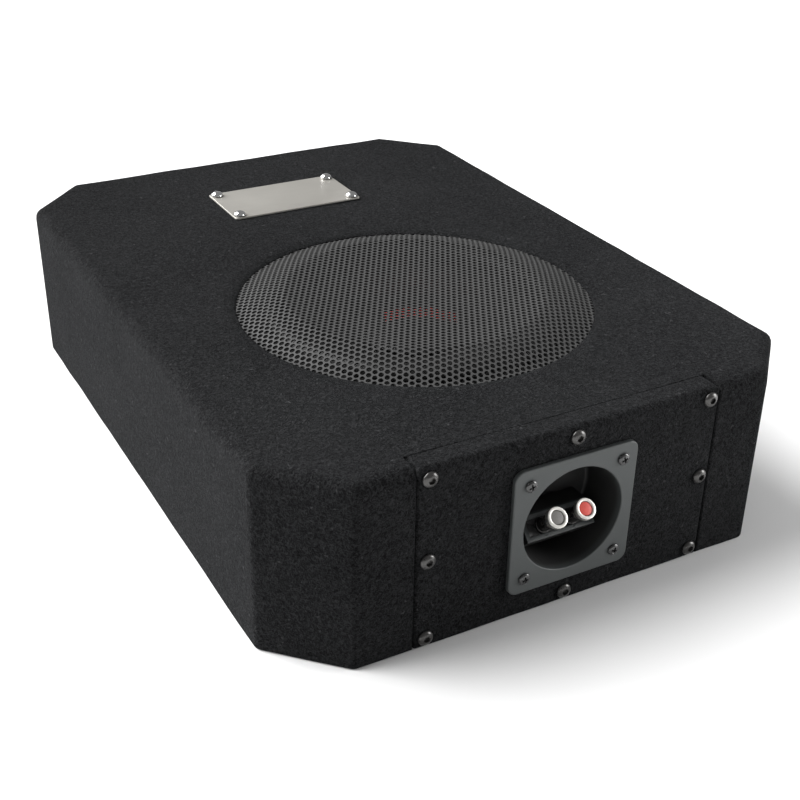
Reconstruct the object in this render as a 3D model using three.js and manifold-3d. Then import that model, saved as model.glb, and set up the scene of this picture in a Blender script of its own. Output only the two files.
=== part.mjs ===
// A shallow car subwoofer: an octagonal wooden box wrapped in carpet, with one 20 cm driver firing
// upwards under a raised steel grille, and a screwed access panel at the front end that carries a
// terminal cup with two spring-loaded posts.
// Millimetres, +Z up, -Y towards the access panel. The origin is the middle of the underside.
import * as THREE from "three";
import { mergeVertices } from "three/addons/utils/BufferGeometryUtils.js";
import Module from "manifold-3d";

const wasm = await Module();
wasm.setup();

// ---- driving dimensions ----
const WIDTH = 330;
const LENGTH = 460;
const HEIGHT = 110;
const CHAMFER = 38; // leg of each cut-off corner, in plan
const CARPET = 2.7;
const CARPET_ROUND = 5; // rounding of the wrapped top edge
const BOARD = 15;
const POST = 30; // depth of the two front posts
const GAP = 0.3; // between touching pieces

const PANEL_WIDTH = 186;
const PANEL_THICKNESS = 14; // board and carpet together
const PANEL_SCREW_X = 86.5;
const PANEL_SCREW_EDGE = 6.5; // from the top or bottom face to the screw's axis
const PANEL_SCREW_BITE = 16; // length in the wood behind the panel
const POST_WIDTH_BEHIND_PANEL = 18;

const GRILLE_FROM_FRONT = 170;
const GRILLE_RISE = 8.5; // of the ridge between the band and the crown
const GRILLE_DISH = 2.5; // how far the middle of the crown lies below the ridge
const GRILLE_BAND = 26; // width of the sloping band
const GRILLE_SHEET = 1;
const GRILLE_SEAT = 3; // width of the rim that rests on the top board

const PLATE_WIDTH = 96;
const PLATE_DEPTH = 52;
const PLATE_FROM_REAR = 97;
const PLATE_SHEET = 1.2;
const PLATE_CORNER = 2;
const PLATE_SCREW_INSET = 4.8;

const CUP_FRAME = 7.4; // width of the plate beside the recess
const CUP_CORNER = 6;
const CUP_PLATE = 3;
const CUP_EDGE = 0.6; // bevel round the plate
const CUP_RECESS_RADIUS = 31;
const CUP_WALL = 2.2;
const CUP_DEPTH = 28;
const CUP_SCREW_INSET = 9.5;
const BLOCK_HALF_WIDTH = 21.5;
const BLOCK_START = 5.6; // lower edge of the slope, behind the panel's face
const BLOCK_DROP = 14.2; // lower edge of the slope, below the cup's middle
const BLOCK_SLOPE = 14.2; // length of the slope
const BLOCK_RIB = 2.4;
const BLOCK_RIB_HEIGHT = 2;
const TERMINAL_TILT = 45; // degrees from straight ahead, upwards
const TERMINAL_PITCH = 18;
const CAP_RADIUS = 5.9;
const CAP_LIP = 1.9; // bright ring round the sunk disc
const CAP_SINK = 1.4;
const CAP_HEIGHT = 3.4;
const CAP_TRAVEL = 4;
const CAP_REST = 15.6; // underside of the cap above the block's floor
const BARREL_RADIUS = 3.9;
const COLLAR_RADIUS = 4.4;
const BARREL_HEIGHT = 11;
const TAIL_RADIUS = 3.4;
const TAIL_LENGTH = 8;
const BORE_RADIUS = 2.6;
const STEM_RADIUS = 2.1;
const STEM_LENGTH = 12;
const WIRE_RADIUS = 1.4;
const WIRE_HOLE_DROP = 2.6; // below the barrel's mouth
const LUG = { width: 3.4, thickness: 1.2, reach: 7 };
const LUG_OVERLAP = 1; // of the lug with the tail's end
const FOOT_CLEARANCE = 3.6; // under the wires at the lugs

const FLANGE_RADIUS = 103.5;
const FLANGE_WIDTH = 11;
const FLANGE_CLEARANCE = 1.3;
const FLANGE_SEAT = 11; // depth of the flange's seat below the outside of the box
const GASKET = 1.5;
const BASKET_SHEET = 1.8;
const WOOFER_SCREW_INSET = 4.5;
const SURROUND_WIDTH = 13.5;
const CONE_DEPTH = 18;
const CONE_SHEET = 1.4;
const CONE_TRAVEL = 6;
const ROLL_RADIUS = 5.4;
const DUST_CAP_RADIUS = 37;
const DUST_CAP_RISE = 9;
const DUST_CAP_SHEET = 1;
const COIL_RADIUS = 18.4;
const COIL_WALL = 1;
const SPIDER_RADIUS = 59;
const SPIDER_DROP = 15; // below the neck of the cone
const SPIDER_CLEARANCE = 13; // above the top plate
const YOKE_PLATE = 7;
const MAGNET_HEIGHT = 16;
const MAGNET_RADIUS = 50;
const TOP_PLATE = 6;
const POLE_CLEARANCE = 0.7;

// ---- facets round each circle ----
const LARGE_FACETS = 48;
const DRIVER_FACETS = 32;
const SCREW_FACETS = 12;
const HOLE_FACETS = 8;

// ---- derived places ----
const FRONT = -LENGTH / 2;
const BOARD_INSET = CARPET + GAP;
const TOP_FACE = HEIGHT - BOARD_INSET; // upper face of the top board
const TOP_UNDER = TOP_FACE - BOARD;
const BOTTOM_FACE = BOARD_INSET + BOARD; // upper face of the bottom board
const PANEL_BACK = FRONT + PANEL_THICKNESS;
const PANEL_SCREW_LENGTH = PANEL_THICKNESS + PANEL_SCREW_BITE;
const NOTCH = PANEL_BACK + GAP;
const NOTCH_HALF = PANEL_WIDTH / 2 + GAP;
const GRILLE_Y = FRONT + GRILLE_FROM_FRONT;
const PLATE_Y = LENGTH / 2 - PLATE_FROM_REAR;
const CUP_Z = HEIGHT / 2;
const CUP_SIZE = (CUP_RECESS_RADIUS + CUP_FRAME) * 2;
const CUP_SCREW_PITCH = CUP_SIZE - CUP_SCREW_INSET * 2;
const REBATE_RADIUS = FLANGE_RADIUS + FLANGE_CLEARANCE;
const GRILLE_RADIUS = REBATE_RADIUS + GRILLE_SEAT;
const CUTOUT_RADIUS = FLANGE_RADIUS - FLANGE_WIDTH;
const CONE_RADIUS = CUTOUT_RADIUS - SURROUND_WIDTH;
const WOOFER_SCREW_CIRCLE = FLANGE_RADIUS - WOOFER_SCREW_INSET;
const SEAT_Z = HEIGHT - FLANGE_SEAT;
const FLANGE_TOP = SEAT_Z + GAP + GASKET + GAP + BASKET_SHEET;
const NECK_Z = FLANGE_TOP - CONE_SHEET / 2 - CONE_DEPTH;
const SPIDER_Z = NECK_Z - SPIDER_DROP;
const BASKET_FLOOR = SPIDER_Z - SPIDER_CLEARANCE;
const TOP_PLATE_TOP = BASKET_FLOOR - GAP;
const TOP_PLATE_BOTTOM = TOP_PLATE_TOP - TOP_PLATE;
const MAGNET_BOTTOM = TOP_PLATE_BOTTOM - GAP - MAGNET_HEIGHT;
const YOKE_TOP = MAGNET_BOTTOM - GAP;
const COIL_BORE = COIL_RADIUS + COIL_WALL + 1.3;
const CONE_NECK = COIL_RADIUS + COIL_WALL + GAP + CONE_SHEET / 2;

const FINISHES = {
  carpet: { color: 0x2a2b2d, roughness: 1, metalness: 0 },
  wood: { color: 0xa98a62, roughness: 0.85, metalness: 0 },
  black_screw: { color: 0x1b1b1c, roughness: 0.35, metalness: 0.8 },
  chrome: { color: 0xd8d8d8, roughness: 0.12, metalness: 1 },
  cup_plastic: { color: 0x56595a, roughness: 0.55, metalness: 0 },
  post_metal: { color: 0x2a2a2a, roughness: 0.3, metalness: 0.8 },
  nickel: { color: 0xe6e4de, roughness: 0.15, metalness: 1 },
  black_insert: { color: 0x3a3c3c, roughness: 0.4, metalness: 0 },
  red_insert: { color: 0xb8231f, roughness: 0.4, metalness: 0 },
  spring_steel: { color: 0x9c9c9c, roughness: 0.3, metalness: 1 },
  black_wire: { color: 0x141414, roughness: 0.6, metalness: 0 },
  red_wire: { color: 0x9a1a18, roughness: 0.6, metalness: 0 },
  grille_coat: { color: 0x2c2d2e, roughness: 0.45, metalness: 0.3 },
  satin_steel: { color: 0xaca89d, roughness: 0.4, metalness: 0.9 },
  foam: { color: 0x1c1c1c, roughness: 0.95, metalness: 0 },
  basket_coat: { color: 0x1d1d1e, roughness: 0.5, metalness: 0.4 },
  ferrite: { color: 0x3b3a3a, roughness: 0.7, metalness: 0.1 },
  zinc_steel: { color: 0x8d8f90, roughness: 0.4, metalness: 0.9 },
  coil_former: { color: 0x8a5a2c, roughness: 0.4, metalness: 0.4 },
  cone_paper: { color: 0x202122, roughness: 0.8, metalness: 0 },
  rubber: { color: 0x161616, roughness: 0.75, metalness: 0 },
  spider_cloth: { color: 0xb0863c, roughness: 0.9, metalness: 0 },
};

const subwoofer = new THREE.Group();

// ---- solids ----
function solid(geometry) {
  const bare = geometry.clone();
  bare.deleteAttribute("normal");
  bare.deleteAttribute("uv");
  const merged = mergeVertices(bare, 1e-4);
  return new wasm.Manifold(
    new wasm.Mesh({
      numProp: 3,
      vertProperties: new Float32Array(merged.attributes.position.array),
      triVerts: new Uint32Array(merged.index.array),
    }),
  );
}

function geometryOf(body) {
  const mesh = body.getMesh();
  const geometry = new THREE.BufferGeometry();
  geometry.setAttribute("position", new THREE.BufferAttribute(mesh.vertProperties, 3));
  geometry.setIndex(new THREE.BufferAttribute(mesh.triVerts, 1));
  geometry.computeVertexNormals();
  return geometry;
}

function cut(geometry, tools) {
  return geometryOf(tools.reduce((body, tool) => body.subtract(solid(tool)), solid(geometry)));
}

function join(geometry, pieces) {
  return geometryOf(pieces.reduce((body, piece) => body.add(solid(piece)), solid(geometry)));
}

function piece(name, geometry, finish, parent = subwoofer) {
  const mesh = new THREE.Mesh(geometry, new THREE.MeshStandardMaterial(FINISHES[finish]));
  mesh.name = name;
  parent.add(mesh);
  return mesh;
}

// ---- outlines and basic bodies ----
const point = (x, y) => new THREE.Vector2(x, y);

// A slab between two heights, from an outline in plan.
function slab(outline, bottom, top) {
  const shape = outline instanceof THREE.Shape ? outline : new THREE.Shape(outline);
  const settings = { depth: top - bottom, bevelEnabled: false, curveSegments: 4 };
  return new THREE.ExtrudeGeometry(shape, settings).translate(0, 0, bottom);
}

// An outline drawn as (y, z), extruded along X about the middle.
function acrossX(outline, width) {
  const settings = { depth: width, bevelEnabled: false };
  const geometry = new THREE.ExtrudeGeometry(new THREE.Shape(outline), settings);
  const turn = new THREE.Matrix4().makeBasis(
    new THREE.Vector3(0, 1, 0),
    new THREE.Vector3(0, 0, 1),
    new THREE.Vector3(1, 0, 0),
  );
  return geometry.applyMatrix4(turn).translate(-width / 2, 0, 0);
}

function rod(radius, bottom, top, sides = HOLE_FACETS) {
  const geometry = new THREE.CylinderGeometry(radius, radius, top - bottom, sides);
  return geometry.rotateX(Math.PI / 2).translate(0, 0, (top + bottom) / 2);
}

function box(width, depth, height) {
  return new THREE.BoxGeometry(width, depth, height);
}

// A turned body about +Z from a profile of (radius, height).
function turned(profile, sides) {
  const ring = profile.slice();
  const first = ring[0];
  const last = ring[ring.length - 1];
  if (first.x > 0 || last.x > 0) ring.push(first.clone());
  if (THREE.ShapeUtils.area(ring) < 0) ring.reverse();
  return new THREE.LatheGeometry(ring, sides).rotateX(Math.PI / 2);
}

function ring(inner, outer, bottom, top, sides = DRIVER_FACETS) {
  return turned([point(inner, bottom), point(outer, bottom), point(outer, top), point(inner, top)], sides);
}

// The closed profile of a sheet that follows a middle line.
function sheet(line, thickness) {
  const upper = [];
  const lower = [];
  line.forEach((at, i) => {
    const before = line[Math.max(i - 1, 0)];
    const after = line[Math.min(i + 1, line.length - 1)];
    const into = at.clone().sub(before);
    const away = after.clone().sub(at);
    if (i === 0) into.copy(away);
    if (i === line.length - 1) away.copy(into);
    const along = into.normalize().add(away.normalize()).normalize();
    const reach = thickness / 2 / Math.abs(along.dot(into));
    const normal = point(-along.y, along.x).multiplyScalar(reach);
    if (at.x === 0) normal.x = 0;
    upper.push(at.clone().add(normal));
    lower.unshift(at.clone().sub(normal));
  });
  return upper.concat(lower);
}

function roundedSquare(width, height, radius) {
  const shape = new THREE.Shape();
  const x = width / 2 - radius;
  const y = height / 2 - radius;
  shape.absarc(x, y, radius, 0, Math.PI / 2);
  shape.absarc(-x, y, radius, Math.PI / 2, Math.PI);
  shape.absarc(-x, -y, radius, Math.PI, Math.PI * 1.5);
  shape.absarc(x, -y, radius, Math.PI * 1.5, Math.PI * 2);
  return shape;
}

// Corners of the box's plan, anticlockwise from the left end of the front side.
function plan(inset) {
  const w = WIDTH / 2 - inset;
  const l = LENGTH / 2 - inset;
  const c = CHAMFER - inset * (2 - Math.SQRT2);
  const quarter = [point(w - c, l), point(w, l - c)];
  const turns = [[-1, -1], [1, -1], [1, 1], [-1, 1]];
  return turns.flatMap(([x, y]) => {
    const corner = quarter.map((at) => point(at.x * x, at.y * y));
    return x * y > 0 ? corner.reverse() : corner;
  }).map((at, i, all) => all[(i + 1) % all.length]);
}

// One mitred side of the plan between two insets.
function side(index, outer, inner) {
  const out = plan(outer);
  const inn = plan(inner);
  const next = (index + 1) % out.length;
  const along = out[next].clone().sub(out[index]).normalize().multiplyScalar(GAP * 0.6);
  return [
    out[index].clone().add(along),
    out[next].clone().sub(along),
    inn[next].clone().sub(along),
    inn[index].clone().add(along),
  ];
}

function notch(half, back) {
  const width = half * 2;
  const reach = back - FRONT + 10;
  return box(width, reach, HEIGHT * 2).translate(0, back - reach / 2, HEIGHT / 2);
}

// ---- the screws ----
const SCREWS = {
  panel: { head: 4.4, rise: 2.5, shank: 1.8, length: PANEL_SCREW_LENGTH, drive: "hex", size: 1.6 },
  terminal: { head: 3.5, rise: 1.6, shank: 1.4, length: 13, drive: "cross", size: 2 },
  nameplate: { head: 4.2, rise: 3, shank: 1.6, length: 13, drive: "none", size: 0 },
  woofer: { head: 4, rise: 2.2, shank: 1.9, length: 10.5, drive: "cross", size: 2.2 },
};

// A dome-head screw with its seat at z = 0 and its shank down -Z.
function screwGeometry({ head, rise, shank, length, drive, size }) {
  const dome = [];
  for (let i = 0; i < 3; i += 1) {
    const angle = (i / 3) * (Math.PI / 2);
    dome.push(point(head * Math.cos(angle), 0.5 + (rise - 0.5) * Math.sin(angle)));
  }
  dome.push(point(0, rise));
  const tip = [point(0, -length), point(shank, -length + shank * 1.5), point(shank, 0), point(head, 0)];
  const body = turned(tip.concat(dome), SCREW_FACETS);
  if (drive === "hex") return cut(body, [rod(size, rise * 0.4, rise + 1, 6)]);
  if (drive === "cross") {
    const arm = box(size * 2, size * 0.35, rise).translate(0, 0, rise * 0.85);
    return cut(body, [arm, arm.clone().rotateZ(Math.PI / 2)]);
  }
  return body;
}

const screwHole = (kind) => SCREWS[kind].shank + GAP;

// ---- places of the screws ----
const panelScrews = [];
const panelRows = { top: HEIGHT - PANEL_SCREW_EDGE, middle: CUP_Z, bottom: PANEL_SCREW_EDGE };
for (const [row, z] of Object.entries(panelRows)) {
  panelScrews.push({ name: `panel_screw_${row}_left`, x: -PANEL_SCREW_X, z });
  if (row !== "middle") panelScrews.push({ name: `panel_screw_${row}_centre`, x: 0, z });
  panelScrews.push({ name: `panel_screw_${row}_right`, x: PANEL_SCREW_X, z });
}
const corners = [["front_left", -1, -1], ["front_right", 1, -1], ["rear_left", -1, 1], ["rear_right", 1, 1]];

function alongY(radius, x, z, from, to, sides = HOLE_FACETS) {
  return rod(radius, -to, -from, sides).rotateX(Math.PI / 2).translate(x, 0, z);
}

const cupHole = CUP_RECESS_RADIUS + CUP_WALL + 1;
const cupRelief = alongY(cupHole, 0, CUP_Z, FRONT, FRONT + CUP_DEPTH + CUP_WALL + 1, DRIVER_FACETS);
const panelScrewHoles = panelScrews.map(({ x, z }) =>
  alongY(screwHole("panel"), x, z, FRONT - 5, PANEL_BACK + PANEL_SCREW_BITE + 3),
);

// ---- the box under the carpet ----
const wholePlate = (bottom, top) => slab(plan(BOARD_INSET), bottom, top);
const wooferCircle = (radius, bottom, top, sides = LARGE_FACETS) =>
  rod(radius, bottom, top, sides).translate(0, GRILLE_Y, 0);
const wooferScrewPlaces = [45, 135, 225, 315].map((degrees) => {
  const angle = THREE.MathUtils.degToRad(degrees);
  return [WOOFER_SCREW_CIRCLE * Math.cos(angle), GRILLE_Y + WOOFER_SCREW_CIRCLE * Math.sin(angle)];
});
const nameplateScrewPlaces = corners.map(([name, sx, sy]) => ({
  name: `nameplate_screw_${name}`,
  x: sx * (PLATE_WIDTH / 2 - PLATE_SCREW_INSET),
  y: PLATE_Y + sy * (PLATE_DEPTH / 2 - PLATE_SCREW_INSET),
}));

piece(
  "top_board",
  cut(wholePlate(TOP_UNDER, TOP_FACE), [
    notch(NOTCH_HALF, NOTCH),
    wooferCircle(CUTOUT_RADIUS, TOP_UNDER - 1, TOP_FACE + 1),
    wooferCircle(REBATE_RADIUS, SEAT_Z, TOP_FACE + 1),
    ...wooferScrewPlaces.map(([x, y]) =>
      rod(screwHole("woofer"), TOP_UNDER - 1, TOP_FACE).translate(x, y, 0),
    ),
    ...nameplateScrewPlaces.map(({ x, y }) =>
      rod(screwHole("nameplate"), TOP_FACE - 11, TOP_FACE + 1).translate(x, y, 0),
    ),
    ...panelScrewHoles,
    cupRelief,
  ]),
  "wood",
);
piece(
  "bottom_board",
  cut(wholePlate(BOARD_INSET, BOTTOM_FACE), [notch(NOTCH_HALF, NOTCH), ...panelScrewHoles, cupRelief]),
  "wood",
);

const wallBottom = BOTTOM_FACE + GAP;
const wallTop = TOP_UNDER - GAP;
const walls = {
  front_right_corner_board: 1,
  right_side_board: 2,
  rear_right_corner_board: 3,
  rear_board: 4,
  rear_left_corner_board: 5,
  left_side_board: 6,
  front_left_corner_board: 7,
};
for (const [name, index] of Object.entries(walls)) {
  piece(name, slab(side(index, BOARD_INSET, BOARD_INSET + BOARD), wallBottom, wallTop), "wood");
}

for (const [name, hand] of [["front_left_post", -1], ["front_right_post", 1]]) {
  const block = slab(side(0, BOARD_INSET, BOARD_INSET + POST), wallBottom, wallTop);
  const inner = NOTCH_HALF - POST_WIDTH_BEHIND_PANEL;
  const elsewhere = box(WIDTH * 2, 100, HEIGHT * 2).translate(hand * (inner - WIDTH), FRONT, CUP_Z);
  piece(name, cut(block, [elsewhere, notch(NOTCH_HALF, NOTCH), ...panelScrewHoles]), "wood");
}

// ---- the carpet ----
const carpetHole = GRILLE_RADIUS + 1.5;
const wrapPlan = new THREE.Shape(plan(CARPET_ROUND));
const wrapBody = new THREE.ExtrudeGeometry(wrapPlan, {
  depth: HEIGHT - CARPET_ROUND * 2,
  bevelThickness: CARPET_ROUND,
  bevelSize: CARPET_ROUND,
  bevelSegments: 3,
}).translate(0, 0, CARPET_ROUND);
const wrapFoot = slab(plan(0), 0, CARPET_ROUND);
piece(
  "carpet_wrap",
  cut(join(wrapBody, [wrapFoot]), [
    slab(plan(CARPET), -1, HEIGHT - CARPET),
    notch(NOTCH_HALF, NOTCH),
    wooferCircle(carpetHole, HEIGHT - 20, HEIGHT + 1),
    ...nameplateScrewPlaces.map(({ x, y }) =>
      rod(screwHole("nameplate"), HEIGHT - 5, HEIGHT + 1).translate(x, y, 0),
    ),
  ]),
  "carpet",
);
piece("carpet_bottom", cut(slab(plan(BOARD_INSET), 0, CARPET), [notch(NOTCH_HALF, NOTCH)]), "carpet");

// ---- the access panel ----
const cupScrewPlaces = corners.map(([name, sx, sz]) => ({
  name: `terminal_screw_${name.replace("front", "lower").replace("rear", "upper")}`,
  x: (sx * CUP_SCREW_PITCH) / 2,
  z: CUP_Z + (sz * CUP_SCREW_PITCH) / 2,
}));
const panelHoles = [
  alongY(cupHole, 0, CUP_Z, FRONT - 5, PANEL_BACK + 5, DRIVER_FACETS),
  ...panelScrewHoles,
  ...cupScrewPlaces.map(({ x, z }) => alongY(screwHole("terminal"), x, z, FRONT - 5, PANEL_BACK - 1)),
];
const panelBoard = box(PANEL_WIDTH - BOARD_INSET * 2, PANEL_THICKNESS - BOARD_INSET, TOP_FACE - BOARD_INSET);
const panelSkin = box(PANEL_WIDTH, PANEL_THICKNESS, HEIGHT);
const panelHollow = box(PANEL_WIDTH - CARPET * 2, PANEL_THICKNESS, HEIGHT - CARPET * 2);
const panelMiddle = (FRONT + PANEL_BACK) / 2;
piece(
  "access_panel",
  cut(panelBoard.translate(0, panelMiddle + BOARD_INSET / 2, CUP_Z), panelHoles),
  "wood",
);
piece(
  "access_panel_carpet",
  cut(panelSkin.translate(0, panelMiddle, CUP_Z), [
    panelHollow.translate(0, panelMiddle + CARPET, CUP_Z),
    ...panelHoles,
  ]),
  "carpet",
);

// Heads bear on the carpet; turned so that the shank runs along +Y.
for (const { name, x, z } of panelScrews) {
  const screw = piece(name, screwGeometry(SCREWS.panel), "black_screw");
  screw.rotation.x = Math.PI / 2;
  screw.position.set(x, FRONT - GAP, z);
}

// ---- the terminal cup ----
const tilt = THREE.MathUtils.degToRad(TERMINAL_TILT);
const cup = new THREE.Group();
cup.position.set(0, FRONT, CUP_Z);
subwoofer.add(cup);

// The block in the cup is drawn as (depth behind the panel's face, height from the cup's middle).
const lowEdge = point(BLOCK_START, -BLOCK_DROP);
const slopeWay = point(Math.sin(tilt), Math.cos(tilt));
const slopeOut = point(-Math.cos(tilt), Math.sin(tilt));
const highEdge = lowEdge.clone().addScaledVector(slopeWay, BLOCK_SLOPE);
const slopeMiddle = lowEdge.clone().addScaledVector(slopeWay, BLOCK_SLOPE / 2);
const onSlope = (along, out) =>
  slopeMiddle.clone().addScaledVector(slopeWay, along).addScaledVector(slopeOut, out);
const floorMiddle = onSlope(0, -BLOCK_RIB_HEIGHT);
const blockHalf = BLOCK_SLOPE / 2;
const lugReach = TAIL_LENGTH + LUG.reach + GAP + WIRE_RADIUS; // to the axis of the wire on the lug
const lugEnd = floorMiddle.clone().addScaledVector(slopeOut, -lugReach);
const WIRE_EXIT = WIRE_RADIUS + 1; // clear way for each wire behind its lug

// The trough that the posts stand in.
function channel() {
  const half = blockHalf - BLOCK_RIB;
  const floor = [onSlope(-half, -BLOCK_RIB_HEIGHT), onSlope(half, -BLOCK_RIB_HEIGHT)];
  const mouth = [onSlope(half, 6), onSlope(-half, 6)];
  return acrossX(floor.concat(mouth), (BLOCK_HALF_WIDTH - BLOCK_RIB) * 2);
}

// The block's section inside its walls, from the slope back to a depth and down to a height.
function blockOutline(wall, roof, back, bottom) {
  const low = onSlope(wall - blockHalf, -roof);
  const top = highEdge.y - wall;
  const high = onSlope((top - onSlope(0, -roof).y) / Math.cos(tilt), -roof);
  const foot = low.clone().addScaledVector(slopeOut, -(low.y - bottom) / Math.sin(tilt));
  return [low, high, point(back, top), point(back, bottom), foot];
}

function cupGeometry() {
  const inside = CUP_SIZE - CUP_EDGE * 2;
  const plate = new THREE.ExtrudeGeometry(roundedSquare(inside, inside, CUP_CORNER - CUP_EDGE), {
    depth: CUP_PLATE - GAP - CUP_EDGE * 2,
    bevelThickness: CUP_EDGE,
    bevelSize: CUP_EDGE,
    bevelSegments: 1,
    curveSegments: 4,
  });
  plate.translate(0, 0, -CUP_PLATE + CUP_EDGE).rotateX(-Math.PI / 2);
  const back = CUP_DEPTH + CUP_WALL;
  const round = (radius, from, to) => solid(alongY(radius, 0, 0, from, to, DRIVER_FACETS));
  const outside = round(CUP_RECESS_RADIUS + CUP_WALL, -1, back);
  const recess = round(CUP_RECESS_RADIUS, -CUP_PLATE - 1, CUP_DEPTH);
  const foot = floorMiddle.y - (lugReach + WIRE_RADIUS) * Math.sin(tilt) - FOOT_CLEARANCE;
  const block = acrossX(blockOutline(0, 0, back, foot), BLOCK_HALF_WIDTH * 2);
  const inner = blockOutline(CUP_WALL, BLOCK_RIB_HEIGHT + CUP_WALL, back + 1, foot + 1.5);
  const hollow = acrossX(inner, (BLOCK_HALF_WIDTH - CUP_WALL) * 2);
  let body = solid(plate).add(outside).subtract(recess).add(solid(block).intersect(outside));
  body = body.subtract(solid(hollow).intersect(round(CUP_RECESS_RADIUS, 0, back + 2)));
  body = body.subtract(solid(channel()));
  for (const hand of [-1, 1]) {
    const hole = rod(TAIL_RADIUS + GAP, -12, 12).rotateX(tilt);
    hole.translate((hand * TERMINAL_PITCH) / 2, floorMiddle.x, floorMiddle.y);
    body = body.subtract(solid(hole));
    const exit = alongY(WIRE_EXIT, (hand * TERMINAL_PITCH) / 2, lugEnd.y, lugEnd.x, back + 3);
    body = body.subtract(solid(exit));
  }
  for (const { x, z } of cupScrewPlaces) {
    body = body.subtract(solid(alongY(screwHole("terminal"), x, z - CUP_Z, -10, 5)));
  }
  return geometryOf(body);
}
piece("terminal_cup", cupGeometry(), "cup_plastic", cup);

for (const { name, x, z } of cupScrewPlaces) {
  const screw = piece(name, screwGeometry(SCREWS.terminal), "black_screw");
  screw.rotation.x = Math.PI / 2;
  screw.position.set(x, FRONT - CUP_PLATE - GAP, z);
}

// ---- the push posts ----
function postGeometry() {
  const profile = [
    point(0, -TAIL_LENGTH - 1.5),
    point(TAIL_RADIUS, -TAIL_LENGTH - 1.5),
    point(TAIL_RADIUS, GAP),
    point(COLLAR_RADIUS, GAP),
    point(COLLAR_RADIUS, GAP + 1.6),
    point(BARREL_RADIUS, GAP + 1.6),
    point(BARREL_RADIUS, BARREL_HEIGHT),
    point(BORE_RADIUS, BARREL_HEIGHT),
    point(BORE_RADIUS, -TAIL_LENGTH),
    point(0, -TAIL_LENGTH),
  ];
  const lug = box(LUG.width, LUG.thickness, LUG.reach - LUG_OVERLAP);
  lug.translate(0, 0, -TAIL_LENGTH - (LUG.reach + LUG_OVERLAP) / 2);
  const body = join(turned(profile, SCREW_FACETS), [lug]);
  const hole = rod(WIRE_RADIUS, -10, 10).rotateY(Math.PI / 2);
  return cut(body, [hole.translate(0, 0, BARREL_HEIGHT - WIRE_HOLE_DROP)]);
}

function capGeometry() {
  const top = CAP_REST + CAP_HEIGHT;
  const profile = [
    point(0, CAP_REST - STEM_LENGTH),
    point(STEM_RADIUS, CAP_REST - STEM_LENGTH),
    point(STEM_RADIUS, CAP_REST),
    point(CAP_RADIUS - 0.4, CAP_REST),
    point(CAP_RADIUS, CAP_REST + 0.4),
    point(CAP_RADIUS, top - 0.6),
    point(CAP_RADIUS - 0.6, top),
    point(CAP_RADIUS - CAP_LIP, top),
    point(CAP_RADIUS - CAP_LIP, top - CAP_SINK),
    point(0, top - CAP_SINK),
  ];
  const hole = rod(WIRE_RADIUS, -10, 10).rotateY(Math.PI / 2);
  hole.translate(0, 0, BARREL_HEIGHT - WIRE_HOLE_DROP + CAP_TRAVEL);
  return cut(turned(profile, 2 * SCREW_FACETS), [hole]);
}

function insertGeometry() {
  const top = CAP_REST + CAP_HEIGHT;
  return rod(CAP_RADIUS - CAP_LIP - GAP, top - CAP_SINK + GAP, top - 0.4, 2 * SCREW_FACETS);
}

// A compression spring in the tail's bore, under the stem.
class SpringLine extends THREE.Curve {
  getPoint(t) {
    const turn = t * Math.PI * 2 * 4;
    const height = (CAP_REST - STEM_LENGTH + TAIL_LENGTH - 1.6) * t - TAIL_LENGTH + 0.8;
    return new THREE.Vector3(1.7 * Math.cos(turn), 1.7 * Math.sin(turn), height);
  }
}

function wireAlong(curve, radius, steps, sides) {
  const section = new THREE.Shape();
  for (let i = 0; i < sides; i += 1) {
    const angle = (i / sides) * Math.PI * 2;
    const at = [radius * Math.cos(angle), radius * Math.sin(angle)];
    if (i === 0) section.moveTo(...at);
    else section.lineTo(...at);
  }
  return new THREE.ExtrudeGeometry(section, { steps, extrudePath: curve });
}

for (const [colour, hand] of [["black", -1], ["red", 1]]) {
  const seat = new THREE.Group();
  seat.position.set((hand * TERMINAL_PITCH) / 2, floorMiddle.x, floorMiddle.y);
  seat.rotation.x = tilt;
  cup.add(seat);
  piece(`terminal_post_${colour}`, postGeometry(), "post_metal", seat);
  piece(`push_cap_${colour}`, capGeometry(), "nickel", seat);
  piece(`cap_insert_${colour}`, insertGeometry(), `${colour}_insert`, seat);
  piece(`post_spring_${colour}`, wireAlong(new SpringLine(), 0.3, 32, 4), "spring_steel", seat);
}

// ---- the driver ----
const woofer = new THREE.Group();
woofer.position.y = GRILLE_Y;
subwoofer.add(woofer);

piece("woofer_gasket", cut(
  ring(CUTOUT_RADIUS, FLANGE_RADIUS, SEAT_Z + GAP, SEAT_Z + GAP + GASKET),
  wooferScrewPlaces.map(([x, y]) => rod(screwHole("woofer"), 0, HEIGHT).translate(x, y - GRILLE_Y, 0)),
), "foam", woofer);

// A leg of the basket runs straight from the spider's ledge up to below the rim.
const LEDGE_WIDTH = 2; // outside the spider
const RIM_INSET = 6; // of the leg's top, inside the cut-out
const RIM_DROP = 9; // of the leg's top, below the seat
const ledge = SPIDER_Z - GAP - 0.5 - BASKET_SHEET / 2;
const legFoot = point(SPIDER_RADIUS + LEDGE_WIDTH, ledge);
const legTop = point(CUTOUT_RADIUS - RIM_INSET, SEAT_Z - RIM_DROP);
const legRadius = (z) => THREE.MathUtils.mapLinear(z, legFoot.y, legTop.y, legFoot.x, legTop.x);

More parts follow.
